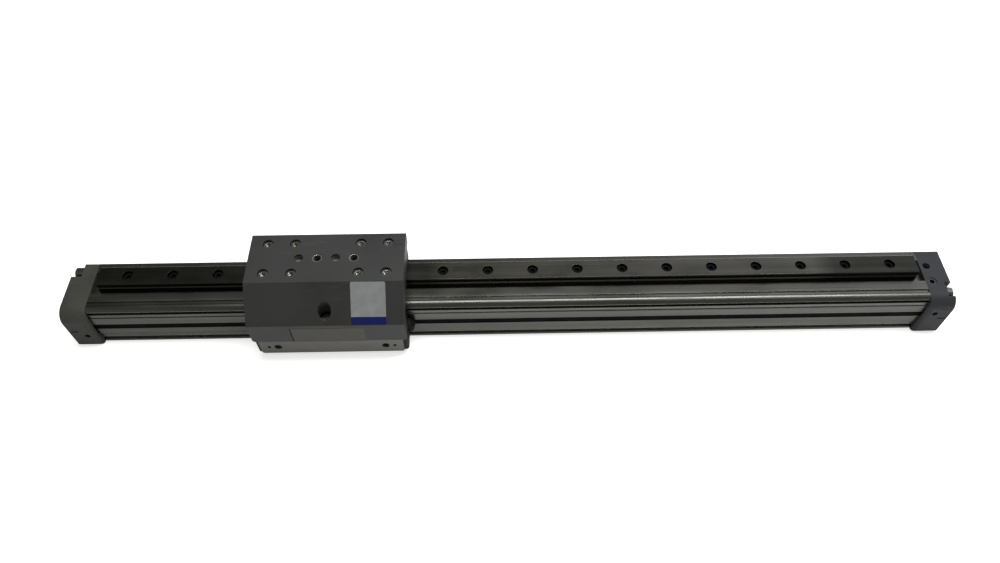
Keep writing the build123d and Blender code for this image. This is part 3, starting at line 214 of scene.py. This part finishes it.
def machined_metal(name, colour, roughness, edge=0.0002):
    """Bare milled metal: fine streaks left by the cutter along X and a few dull patches."""
    material, tree, shader = new_surface(name, 1.0)
    streaks = noise(tree, 1.0, (90.0, 1900.0, 1900.0), 4.0)
    patches = noise(tree, 160.0, (1.0, 1.0, 1.0), 4.0)
    shade = blend_colours(tree, spread(tree, streaks, 0.0, 1.0), tinted(colour, 0.88), colour)
    worn = spread(tree, patches, 0.0, 0.5, 0.5, 0.75)
    shade = blend_colours(tree, worn, shade, tinted(colour, 0.85))
    tree.links.new(shade, shader.inputs["Base Color"])
    gloss = spread(tree, patches, roughness + 0.05, roughness - 0.03)
    tree.links.new(gloss, shader.inputs["Roughness"])
    round_edges(tree, shader, edge, streaks, 0.03, 0.00002)
    return material


def turned_metal(name, colour, roughness, edge=0.00012):
    """Small turned or headed piece: bright, with light handling marks."""
    material, tree, shader = new_surface(name, 1.0)
    marks = noise(tree, 900.0, (1.0, 1.0, 1.0), 4.0)
    dull = tinted(colour, 0.6)
    shade = blend_colours(tree, spread(tree, marks, 0.0, 1.0), dull, colour)
    tree.links.new(shade, shader.inputs["Base Color"])
    tree.links.new(spread(tree, marks, roughness + 0.12, roughness), shader.inputs["Roughness"])
    round_edges(tree, shader, edge, marks, 0.1, 0.00002)
    return material


# Coated metal, plastic and rubber
def coated_metal(name, colour, worn, roughness, grain_scale, specular=0.35, places=()):
    """Anodised or powder-coated metal: fine grain, cloudy wear and rubbed edges.

    Each place, mostly painted light and shade, is its limits in mm along X, Y and Z and the colour
    that shows inside them.
    """
    material, tree, shader = new_surface(name, 0.0, specular)
    grain = noise(tree, grain_scale, (1.0, 1.0, 1.0), 3.0)
    clouds = noise(tree, 30.0, (1.0, 1.0, 1.0), 5.0, 3.0)
    scuffs = noise(tree, 1.0, (60.0, 420.0, 420.0), 6.0, 7.0)
    cloud = spread(tree, clouds, 0.0, 1.0)
    base = blend_colours(tree, cloud, tinted(colour, 0.85), tinted(colour, 1.2))
    base = blend_colours(tree, spread(tree, scuffs, 0.0, 0.35, 0.6, 0.8), base, worn)
    soft = round_edges(tree, shader, 0.0003, grain, 0.3, 0.00003)
    rubbed = multiply(tree, edge_mask(tree, soft), spread(tree, clouds, 0.15, 0.6))
    base = blend_colours(tree, rubbed, base, worn)
    axes = own_coordinates(tree)
    # Places of painted light and shade, and marks, over the coating
    for limits, other_colour in places:
        inside = 1.0
        for axis, (low, high) in zip("XYZ", limits):
            inside = multiply(tree, inside, within(tree, axes[axis], low * MM, high * MM, 0.1 * MM))
        base = blend_colours(tree, inside, base, other_colour)
    tree.links.new(base, shader.inputs["Base Color"])
    gloss = spread(tree, clouds, roughness - 0.05, roughness + 0.08)
    tree.links.new(gloss, shader.inputs["Roughness"])
    return material


def moulded(name, colour, roughness, specular=0.25, edge=0.0003):
    """Moulded plastic or rubber: fine matt grain with faint handling shine."""
    material, tree, shader = new_surface(name, 0.0, specular)
    grain = noise(tree, 2600.0, (1.0, 1.0, 1.0), 3.0)
    shine = noise(tree, 120.0, (1.0, 1.0, 1.0), 4.0, 2.0)
    base = blend_colours(tree, spread(tree, shine, 0.0, 1.0), colour, tinted(colour, 1.5))
    tree.links.new(base, shader.inputs["Base Color"])
    gloss = spread(tree, shine, roughness - 0.08, roughness + 0.08)
    tree.links.new(gloss, shader.inputs["Roughness"])
    round_edges(tree, shader, edge, grain, 0.2, 0.00002)
    return material


def printed_plate(name, colour, roughness, specular):
    """Printed foil of the name plate: slight ripples and rubbed print."""
    material, tree, shader = new_surface(name, 0.0, specular)
    rub = noise(tree, 220.0, (1.0, 1.0, 1.0), 5.0)
    base = blend_colours(tree, spread(tree, rub, 0.0, 1.0), tinted(colour, 0.85), colour)
    tree.links.new(base, shader.inputs["Base Color"])
    shader.inputs["Roughness"].default_value = roughness
    ripple = noise(tree, 120.0, (1.0, 1.0, 1.0), 2.0, 5.0)
    round_edges(tree, shader, 0.0001, ripple, 0.15, 0.00006)
    return material


# Painted light and shade on the profile: a light edge, a light floor and a dark line by the small
# groove along its top, darker front lands, both front grooves lightened against their shade and
# darker bands just below the upper groove
PROFILE_PAINTED_LIGHT_AND_SHADE = (
    ("Y", -5.7, -4.8, 29.0, 31.0, 1.2),
    ("Y", -7.7, -6.9, 29.0, 31.0, 1.2),
    ("Y", -8.7, -7.9, 29.0, 31.0, 0.65),
    ("Z", 0.0, 27.4, -13.0, -12.2, 0.75),
    ("Z", 26.4, 28.2, -11.9, -10.3, 2.6),
    ("Z", 2.6, 4.5, -11.9, -10.3, 3.6),
    ("Z", 1.9, 2.4, -12.0, -10.3, 2.2),
    ("Z", 25.7, 26.2, -12.4, -10.3, 0.75),
    ("Z", 25.2, 25.7, -13.0, -12.2, 0.3),
    ("Z", 24.4, 25.0, -13.0, -12.2, 0.55),
)
# Painted shade on the rail: darker ends, a darker upper part of its flanks and darker walls of its
# holes
RAIL_PAINTED_SHADE = (
    ("X", 182.0, 300.0, -10.0, 30.0, 0.4),
    ("X", -300.0, -45.0, -10.0, 30.0, 0.5),
    ("Z", 32.4, 34.9, -10.0, 2.7, 0.4),
    ("Z", 32.4, 34.9, 13.5, 30.0, 0.4),
    ("Z", 30.9, 35.1, 5.0, 11.2, 0.12),
)
PROFILE = drawn_metal(
    "profile_metal",
    rgb(0.063, 0.063, 0.057),
    rgb(0.102, 0.102, 0.094),
    0.28,
    PROFILE_PAINTED_LIGHT_AND_SHADE,
)
RAIL = drawn_metal(
    "rail_metal",
    rgb(0.048, 0.047, 0.041),
    rgb(0.078, 0.0765, 0.067),
    0.28,
    RAIL_PAINTED_SHADE,
    4200.0,
)
BLOCK = drawn_metal("block_metal", rgb(0.06, 0.06, 0.06), rgb(0.11, 0.11, 0.11), 0.3)
BAND_STEEL = drawn_metal("band_metal", rgb(0.3, 0.3, 0.3), rgb(0.45, 0.45, 0.45), 0.25)
BARE = machined_metal("bare_aluminium", rgb(0.101, 0.099, 0.088), 0.42)
DRIVER = machined_metal("driver_aluminium", rgb(0.054, 0.0527, 0.0455), 0.42)
# Lighter bottoms of both centring bores, as painted light against their shade, and a dark scratch
# beside the right back screw
SLIDE_PAINTED_LIGHT_AND_SCRATCH = (
    (((-117.2, -111.8), (5.4, 10.8), (44.0, 47.6)), rgb(0.13, 0.13, 0.125)),
    (((-97.2, -91.8), (5.4, 10.8), (44.0, 47.6)), rgb(0.13, 0.13, 0.125)),
    (((-64.5, -58.0), (16.1, 16.8), (48.8, 49.2)), rgb(0.006, 0.006, 0.006)),
)
SLIDE = coated_metal(
    "slide_coating",
    rgb(0.0148, 0.0152, 0.0148),
    rgb(0.055, 0.055, 0.053),
    0.52,
    1800.0,
    places=SLIDE_PAINTED_LIGHT_AND_SCRATCH,
)
# Painted shade on each cap: a darker flat front and black painted into the short saw slit
LEFT_CAP_FRONT_PAINTED_SHADE = (
    (((-248.0, -230.0), (-15.7, -15.3), (-1.0, 22.2)), rgb(0.028, 0.0276, 0.0238)),
    (((-247.2, -240.95), (-16.0, -10.0), (14.75, 15.55)), rgb(0.001, 0.001, 0.001)),
)
RIGHT_CAP_FRONT_PAINTED_SHADE = (
    (((230.0, 248.0), (-15.7, -15.3), (-1.0, 22.2)), rgb(0.01, 0.0104, 0.0115)),
    (((240.95, 247.2), (-16.0, -10.0), (14.75, 15.55)), rgb(0.001, 0.001, 0.001)),
)
# Both caps have one coating, here in two copies: the left one lighter and warmer as painted light,
# the right one darker and bluer as painted shade and reflection
CAP_LEFT_COATING_PAINTED_LIGHT = coated_metal(
    "cap_coating_painted_light_left",
    rgb(0.04, 0.0398, 0.0345),
    rgb(0.065, 0.064, 0.058),
    0.46,
    1100.0,
    0.14,
    LEFT_CAP_FRONT_PAINTED_SHADE,
)
CAP_RIGHT_COATING_PAINTED_SHADE = coated_metal(
    "cap_coating_painted_shade_right",
    rgb(0.023, 0.0241, 0.0272),
    rgb(0.055, 0.056, 0.06),
    0.46,
    1100.0,
    0.14,
    RIGHT_CAP_FRONT_PAINTED_SHADE,
)
BRIGHT = turned_metal("bright_steel", rgb(0.42, 0.42, 0.41), 0.2)
SCREW_STEEL = turned_metal("screw_steel", rgb(0.33, 0.33, 0.32), 0.08, 0.00035)
PLATED = turned_metal("plated_screws", rgb(0.14, 0.14, 0.14), 0.2)
DARK_STEEL = turned_metal("black_oxide", rgb(0.012, 0.012, 0.012), 0.4)
PLUG = turned_metal("plug_steel", rgb(0.05, 0.05, 0.05), 0.4)
INSERT = turned_metal("insert_steel", rgb(0.55, 0.55, 0.54), 0.14, 0.0003)
# Thread turns much darker than their metal, as painted shade deep in the tapped holes
THREAD_PAINTED_SHADE = turned_metal("cut_thread_painted_shade", rgb(0.045, 0.045, 0.043), 0.4)
BALL = turned_metal("ball_steel", rgb(0.6, 0.6, 0.6), 0.08)
BRASS = turned_metal("turned_brass", rgb(0.55, 0.38, 0.14), 0.3)
BLACK = moulded("black_plastic", rgb(0.006, 0.006, 0.006), 0.55)
WIPER = moulded("wiper_plastic", rgb(0.003, 0.003, 0.003), 0.6, 0.1)
# Black screws, made duller and darker than black steel as painted shade down in the rail's holes
RAIL_SCREW_BLACK_AND_SHADE = moulded("rail_screw_black_and_shade", rgb(0.002, 0.002, 0.002), 0.6, 0.05)
GREEN = moulded("low_friction_plastic", rgb(0.02, 0.09, 0.05), 0.45)
RUBBER = moulded("seal_rubber", rgb(0.006, 0.006, 0.006), 0.6)
# Black cover band, made darker and duller still as painted shade down in its slot
BAND_AND_SLOT_SHADE = moulded("cover_band", rgb(0.001, 0.001, 0.001), 0.6, 0.02)
SILVER = printed_plate("plate_silver", rgb(0.197, 0.201, 0.204), 0.42, 0.3)
BLUE = printed_plate("plate_blue", rgb(0.005, 0.009, 0.075), 0.4, 0.15)

NODE_FINISH = {
    "barrel_profile": PROFILE,
    "guide_rail": RAIL,
    "end_cap_left": CAP_LEFT_COATING_PAINTED_LIGHT,
    "end_cap_right": CAP_RIGHT_COATING_PAINTED_SHADE,
    "slide_plate": SLIDE,
    "yoke": BARE,
    "driver_block": DRIVER,
    "piston_core": BARE,
    "bearing_block": BLOCK,
    "bearing_balls": BALL,
    "block_end_caps": BLACK,
    "block_end_seals": RUBBER,
    "wiper": WIPER,
    "cushion_spigot": BRASS,
    "cushion_screw": PLATED,
    "cushion_seal": RUBBER,
    "end_cap_screws": PLATED,
    "end_cap_seal": RUBBER,
    "piston_seal": RUBBER,
    "piston_head": GREEN,
    "piston_magnet": BLACK,
    "wear_ring": GREEN,
    "slide_screws": SCREW_STEEL,
    "driver_screw": BRIGHT,
    "thread_inserts": INSERT,
    "neck_pins": BRIGHT,
    "inner_band": BAND_STEEL,
    "outer_band": BAND_AND_SLOT_SHADE,
    "name_plate": SILVER,
    "rail_screws": RAIL_SCREW_BLACK_AND_SHADE,
    "port_plugs": PLUG,
    "band_clamps": DARK_STEEL,
    "band_clamp_screws": DARK_STEEL,
}


def dress_nodes():
    """Gives each carried-over solid its finish; left and right ones share a name."""
    for name, solid in NODES.items():
        stem = name.removesuffix("_left").removesuffix("_right")
        finish = NODE_FINISH.get(name) or NODE_FINISH[stem]
        for holder in solid.material_slots:
            holder.material = finish


# New pieces
def mesh_piece(name, body, material, bm, smooth=False):
    """Turns a bmesh into a piece that rides on a body, or on none where body is None."""
    mesh = bpy.data.meshes.new(name)
    bm.normal_update()
    bm.to_mesh(mesh)
    bm.free()
    piece = bpy.data.objects.new(name, mesh)
    bpy.context.collection.objects.link(piece)
    for made in material if isinstance(material, list) else [material]:
        mesh.materials.append(made)
    for face in mesh.polygons:
        face.use_smooth = smooth
    if body is not None:
        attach(piece, body)
    return piece


def cut_off(bm, layer, point, normal):
    """Takes away what lies outside a plane, closes the cut and marks its faces."""
    everything = bm.verts[:] + bm.edges[:] + bm.faces[:]
    cut = bmesh.ops.bisect_plane(
        bm, geom=everything, dist=1e-7, plane_co=point, plane_no=normal, clear_outer=True
    )
    rim = [item for item in cut["geom_cut"] if isinstance(item, bmesh.types.BMEdge)]
    closed = bmesh.ops.triangle_fill(bm, edges=rim, use_beauty=True, normal=normal)
    for face in (item for item in closed["geom"] if isinstance(item, bmesh.types.BMFace)):
        face[layer] = 1
        face.normal_update()
        if face.normal.dot(normal) < 0:
            face.normal_flip()


CORNER_STEPS = 10
PROFILE_CORNER = 4.0 * MM
CAP_CORNER = 8.0 * MM
# How far the rail seat's front wall moves, and the height above which its corners lie
SEAT_CLEARANCE = 2.3 * MM
SEAT_HEIGHT = 27.0 * MM
END_CHAMFER = 0.6 * MM


def rounded_piece(name, node, material, centre, radius, end_x=None, widened=None):
    """The node's body with its upper front corner rounded about a line along X.

    Where end_x is given, the round also gets the chamfer of the outer face there. Where
    widened is given, the rail seat's wall at the first of its two Y values moves to the second.
    """
    bm = bmesh.new()
    bm.from_mesh(NODES[node].data)
    bmesh.ops.remove_doubles(bm, verts=bm.verts, dist=1e-6)
    if widened:
        for vert in bm.verts:
            if abs(vert.co.y - widened[0]) < 0.03 * MM and vert.co.z > SEAT_HEIGHT:
                vert.co.y = widened[1]
    layer = bm.faces.layers.int.new("rounded")
    for step in range(CORNER_STEPS):
        angle = math.radians(90 * (step + 0.5) / CORNER_STEPS)
        outward = Vector((0, -math.sin(angle), math.cos(angle)))
        touching = centre + outward * radius
        cut_off(bm, layer, touching, outward)
        if end_x is not None:
            side = Vector((math.copysign(1, end_x), 0, 0))
            touching.x = end_x - side.x * END_CHAMFER
            cut_off(bm, layer, touching, (outward + side).normalized())
    for edge in bm.edges:
        sides = edge.link_faces
        edge.smooth = (
            len(sides) == 2
            and sides[0][layer] == sides[1][layer]
            and edge.calc_face_angle(4) < math.radians(30)
        )
    bm.faces.layers.int.remove(layer)
    piece = mesh_piece(name, "barrel", material, bm, True)
    stored = piece.data.attributes.get("custom_normal")
    if stored:
        piece.data.attributes.remove(stored)
    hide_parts(node)


def rounded_bodies():
    """Profile and end caps with round upper front corners, and the profile's wider rail seat."""
    low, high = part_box("barrel_profile")
    centre = Vector((0, low.y + PROFILE_CORNER, high.z - PROFILE_CORNER))
    seat_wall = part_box("guide_rail")[0].y
    rounded_piece(
        "profile_body",
        "barrel_profile",
        PROFILE,
        centre,
        PROFILE_CORNER,
        widened=(seat_wall, seat_wall - SEAT_CLEARANCE),
    )
    for side in ("left", "right"):
        low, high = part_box(f"end_cap_{side}")
        centre = Vector((0, low.y + CAP_CORNER, high.z - CAP_CORNER))
        end_x = low.x if side == "left" else high.x
        name = f"cap_body_{side}"
        coating = CAP_LEFT_COATING_PAINTED_LIGHT if side == "left" else CAP_RIGHT_COATING_PAINTED_SHADE
        rounded_piece(name, f"end_cap_{side}", coating, centre, CAP_CORNER, end_x)


# Each band's ramp, measured from the carriage's middle, and its cross-section
RAMP_START = 23.5 * MM
RAMP_END = 38.0 * MM
BAND_ROWS = 9
COVER_THICKNESS = 0.5 * MM
COVER_CROWN = 0.12 * MM
SEAL_THICKNESS = 0.3 * MM


def band_half(name, node, material, side, flat_y, lifted_y, thickness, crown):
    """Half of a sealing band, from the cap to the carriage's middle.

    It lies flat in its seat, climbs a ramp and is lifted round the yoke's neck.
    """
    low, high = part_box(node)
    end_x = low.x if side < 0 else high.x
    yoke_low, yoke_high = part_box("yoke")
    rest_x = (yoke_low.x + yoke_high.x) / 2
    middle_z = (low.z + high.z) / 2
    half_width = (high.z - low.z) / 2
    stations = (
        (end_x, flat_y),
        (rest_x + side * RAMP_END, flat_y),
        (rest_x + side * RAMP_START, lifted_y),
        (rest_x, lifted_y),
    )
    bm = bmesh.new()
    rings = []
    for x, front_y in stations:
        ring = []
        for row in range(BAND_ROWS):
            across = -1 + 2 * row / (BAND_ROWS - 1)
            y = front_y - crown * (1 - across**2)
            ring.append(bm.verts.new((x, y, middle_z + across * half_width)))
        back_y = front_y + thickness
        ring.append(bm.verts.new((x, back_y, middle_z + half_width)))
        ring.append(bm.verts.new((x, back_y, middle_z - half_width)))
        rings.append(ring)
    for first, second in zip(rings, rings[1:]):
        for index in range(len(first)):
            after = (index + 1) % len(first)
            bm.faces.new((first[index], first[after], second[after], second[index]))
    bm.faces.new(reversed(rings[0]))
    bm.faces.new(rings[-1])
    bmesh.ops.recalc_face_normals(bm, faces=bm.faces)
    piece = mesh_piece(name, None, material, bm)
    if side < 0:
        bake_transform(piece)
    else:
        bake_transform(piece)
    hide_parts(node)


def sealing_bands():
    """Black cover band and steel inner band, each in two halves."""
    outer_low, outer_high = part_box("outer_band")
    inner_low, inner_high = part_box("inner_band")
    for side, word in ((-1, "left"), (1, "right")):
        band_half(
            f"cover_band_{word}",
            "outer_band",
            BAND_AND_SLOT_SHADE,
            side,
            outer_high.y - COVER_THICKNESS,
            outer_low.y,
            COVER_THICKNESS,
            COVER_CROWN,
        )
    for side, word in ((-1, "left"), (1, "right")):
        band_half(
            f"seal_band_{word}",
            "inner_band",
            BAND_STEEL,
            side,
            inner_low.y,
            inner_high.y - SEAL_THICKNESS,
            SEAL_THICKNESS,
            0.0,
        )


PLATE_TILT = math.radians(-0.5)
PLATE_SIZE = (18.7 * MM, 23.3 * MM)
PLATE_THICKNESS = 0.2 * MM
PLATE_CORNER = 0.9 * MM
BLUE_HEIGHT = 4.2 * MM


def plate_matrix():
    """Frame of the name plate: X along its width, Y up the slope, Z out of it."""
    low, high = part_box("name_plate")
    up_slope = Vector((0, 1, 1)).normalized()
    outward = Vector((0, -1, 1)).normalized()
    base = (low + high) / 2 - outward * 0.125 * MM
    frame_axes = Matrix((Vector((1, 0, 0)), up_slope, outward)).transposed().to_4x4()
    return Matrix.Translation(base) @ frame_axes @ Matrix.Rotation(PLATE_TILT, 4, "Z")


def name_plate():
    """Blank foil plate with round corners and a plain blue band along its foot."""
    width, height = PLATE_SIZE
    outline = []
    for corner_x, corner_y, start in ((1, 1, 0), (-1, 1, 90), (-1, -1, 180), (1, -1, 270)):
        centre = Vector(
            (corner_x * (width / 2 - PLATE_CORNER), corner_y * (height / 2 - PLATE_CORNER), 0)
        )
        for step in range(7):
            angle = math.radians(start + 15 * step)
            arm = Vector((math.cos(angle), math.sin(angle), 0)) * PLATE_CORNER
            outline.append(centre + arm)
    bm = bmesh.new()
    face = bm.faces.new([bm.verts.new(point) for point in outline])
    lifted = bmesh.ops.extrude_face_region(bm, geom=[face])
    for vert in (item for item in lifted["geom"] if isinstance(item, bmesh.types.BMVert)):
        vert.co.z += PLATE_THICKNESS
    cut_y = -height / 2 + BLUE_HEIGHT
    bmesh.ops.bisect_plane(
        bm,
        geom=bm.verts[:] + bm.edges[:] + bm.faces[:],
        plane_co=(0, cut_y, 0),
        plane_no=(0, 1, 0),
    )
    for part in bm.faces:
        part.material_index = 1 if part.calc_center_median().y < cut_y else 0
    bmesh.ops.recalc_face_normals(bm, faces=bm.faces)
    bm.transform(plate_matrix())
    piece = mesh_piece("blank_plate", "carriage", [SILVER, BLUE], bm)
    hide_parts("name_plate")


THREAD_PITCH = 0.8 * MM
# Body and threaded depth of each tapped mount
TAPPED_MOUNTS = (
    ("carriage_threads", "carriage", 6.0 * MM),
    ("yoke_threads", "carriage", 6.0 * MM),
    ("port_right", "barrel", 7.0 * MM),
    ("port_left", "barrel", 7.0 * MM),
)


def thread_turns(name, body, mouth, axis, radius, depth):
    """Helical ridge on the wall of a tapped hole, from its mouth inwards."""
    axis = Vector(axis).normalized()
    side = axis.orthogonal().normalized()
    other = axis.cross(side)
    per_turn = 20
    steps = int(depth / THREAD_PITCH * per_turn)
    tooth = 0.45 * THREAD_PITCH
    bm = bmesh.new()
    rings = []
    for step in range(steps + 1):
        angle = 2 * math.pi * step / per_turn
        out = side * math.cos(angle) + other * math.sin(angle)
        centre = Vector(mouth) - axis * (THREAD_PITCH * (0.5 + step / per_turn))
        wall = centre + out * (radius + 0.02 * MM)
        crest = centre + out * (radius - tooth)
        rings.append(
            [
                bm.verts.new(wall + axis * THREAD_PITCH * 0.42),
                bm.verts.new(crest),
                bm.verts.new(wall - axis * THREAD_PITCH * 0.42),
            ]
        )
    for first, second in zip(rings, rings[1:]):
        for index in range(3):
            after = (index + 1) % 3
            bm.faces.new((first[index], first[after], second[after], second[index]))
    bm.faces.new(rings[0])
    bm.faces.new(reversed(rings[-1]))
    bmesh.ops.recalc_face_normals(bm, faces=bm.faces)
    mesh_piece(name, body, THREAD_PAINTED_SHADE, bm)


def hole_places(mount):
    """Centres of a mount's holes: one, or two spaced along X."""
    centre = Vector(mount["pos_m"])
    spacing = mount["dims"].get("spacing_x_mm", 0.0) * MM
    if not spacing:
        return [centre]
    return [centre - Vector((spacing / 2, 0, 0)), centre + Vector((spacing / 2, 0, 0))]


def tapped_holes():
    """Thread turns in the carriage's inserts, the yoke's flange and the air ports."""
    mounts = {mount["name"]: mount for mount in frame["record"]["mounts"]}
    for name, body, depth in TAPPED_MOUNTS:
        mount = mounts[name]
        radius = (mount["dims"].get("r_mm") or mount["dims"]["hole_r_mm"]) * MM
        for index, place in enumerate(hole_places(mount)):
            thread_turns(f"{name}_turns_{index}", body, place, mount["axis"], radius, depth)


dress_nodes()
rounded_bodies()
sealing_bands()
name_plate()
tapped_holes()


# Floor, light and camera
def white_floor():
    """Pale floor that shows white to the camera and keeps the object's soft shadow."""
    material = bpy.data.materials.new("floor_paper")
    material.use_nodes = True
    tree = material.node_tree
    tree.nodes.clear()
    path = add(tree, "ShaderNodeLightPath")
    place = add(tree, "ShaderNodeTexCoord")
    parts = add(tree, "ShaderNodeSeparateXYZ", {0: place.outputs["Object"]})
    dimmed = spread(tree, parts.outputs["X"], 0.1, 1.0, -0.26, 0.02)
    mirrored = multiply(tree, path.outputs["Is Glossy Ray"], dimmed)
    seen = add(
        tree,
        "ShaderNodeMath",
        {0: path.outputs["Is Camera Ray"], 1: path.outputs["Is Transmission Ray"]},
        operation="MAXIMUM",
    )
    both_seen = add(tree, "ShaderNodeMath", {0: seen.outputs[0], 1: mirrored}, operation="MAXIMUM")
    paper = add(tree, "ShaderNodeBsdfDiffuse", {"Color": rgb(0.75, 0.75, 0.75)})
    lift = add(tree, "ShaderNodeMath", {0: both_seen.outputs[0], 1: 0.62}, operation="MULTIPLY")
    glow = add(tree, "ShaderNodeEmission", {"Strength": lift.outputs[0]})
    both = add(tree, "ShaderNodeAddShader", {0: paper.outputs[0], 1: glow.outputs[0]})
    add(tree, "ShaderNodeOutputMaterial", {"Surface": both.outputs[0]})
    bm = bmesh.new()
    bmesh.ops.create_grid(bm, x_segments=1, y_segments=1, size=6.0)
    mesh = bpy.data.meshes.new("floor")
    bm.to_mesh(mesh)
    bm.free()
    floor = bpy.data.objects.new("floor", mesh)
    mesh.materials.append(material)
    bpy.context.collection.objects.link(floor)


def sky():
    """Grey surroundings: even in front, brighter towards +X behind; white to the camera."""
    world = bpy.data.worlds.new("studio")
    world.use_nodes = True
    bpy.context.scene.world = world
    tree = world.node_tree
    tree.nodes.clear()
    path = add(tree, "ShaderNodeLightPath")
    place = add(tree, "ShaderNodeTexCoord")
    parts = add(tree, "ShaderNodeSeparateXYZ", {0: place.outputs["Generated"]})
    side = spread(tree, parts.outputs["X"], 0.0, 1.0, -0.45, 0.4)
    steep = add(tree, "ShaderNodeMath", {0: side, 1: 3.0}, operation="POWER")
    behind = blend_colours(tree, steep.outputs[0], rgb(0.22, 0.219, 0.185), rgb(1.3, 1.31, 1.37))
    from_back = spread(tree, parts.outputs["Y"], 0.0, 1.0, -0.3, 0.05)
    grey = blend_colours(tree, from_back, rgb(0.42, 0.42, 0.39), behind)
    seen = add(
        tree,
        "ShaderNodeMath",
        {0: path.outputs["Is Camera Ray"], 1: path.outputs["Is Transmission Ray"]},
        operation="MAXIMUM",
    )
    shown = blend_colours(tree, seen.outputs[0], grey, rgb(1, 1, 1))
    light = add(tree, "ShaderNodeBackground", {"Color": shown, "Strength": 1.0})
    add(tree, "ShaderNodeOutputWorld", {"Surface": light.outputs[0]})


LAMP_PLACE = (0.2, 0.15, 1.1)
LAMP_TARGET = (0.2, 0, 0)
LAMP_SIZE = (1.0, 0.32)
LAMP_POWER = 13.2


def area_lamp(name, place, target, size, power):
    """Soft rectangular lamp that faces a point."""
    data = bpy.data.lights.new(name, "AREA")
    data.shape = "RECTANGLE"
    data.size, data.size_y = size
    data.energy = power
    lamp = bpy.data.objects.new(name, data)
    lamp.location = place
    lamp.rotation_euler = (Vector(target) - Vector(place)).to_track_quat("-Z", "Y").to_euler()
    bpy.context.collection.objects.link(lamp)


# Angles in degrees, lens in mm
CAMERA_PLACE = Vector((-9.36, -252.59, 388.38)) * MM
CAMERA_ELEVATION = 54.396
CAMERA_AZIMUTH = 0.922
CAMERA_ROLL = -0.134
LENS = 28.325


def photo_camera():
    """Camera at the photograph's place, worked out from the rail's assumed hole pitch."""
    data = bpy.data.cameras.new("photo_camera")
    data.sensor_width = 36.0
    data.lens = LENS
    data.clip_start, data.clip_end = 0.01, 30.0
    camera = bpy.data.objects.new("photo_camera", data)
    turned = Matrix.Rotation(math.radians(-CAMERA_AZIMUTH), 4, "Z")
    tilted = Matrix.Rotation(math.radians(90 - CAMERA_ELEVATION), 4, "X")
    rolled = Matrix.Rotation(math.radians(CAMERA_ROLL), 4, "Z")
    camera.matrix_world = Matrix.Translation(CAMERA_PLACE) @ turned @ tilted @ rolled
    bpy.context.collection.objects.link(camera)
    bpy.context.scene.camera = camera


white_floor()
sky()
area_lamp("overhead", LAMP_PLACE, LAMP_TARGET, LAMP_SIZE, LAMP_POWER)
photo_camera()
bpy.context.scene.view_settings.view_transform = "Standard"
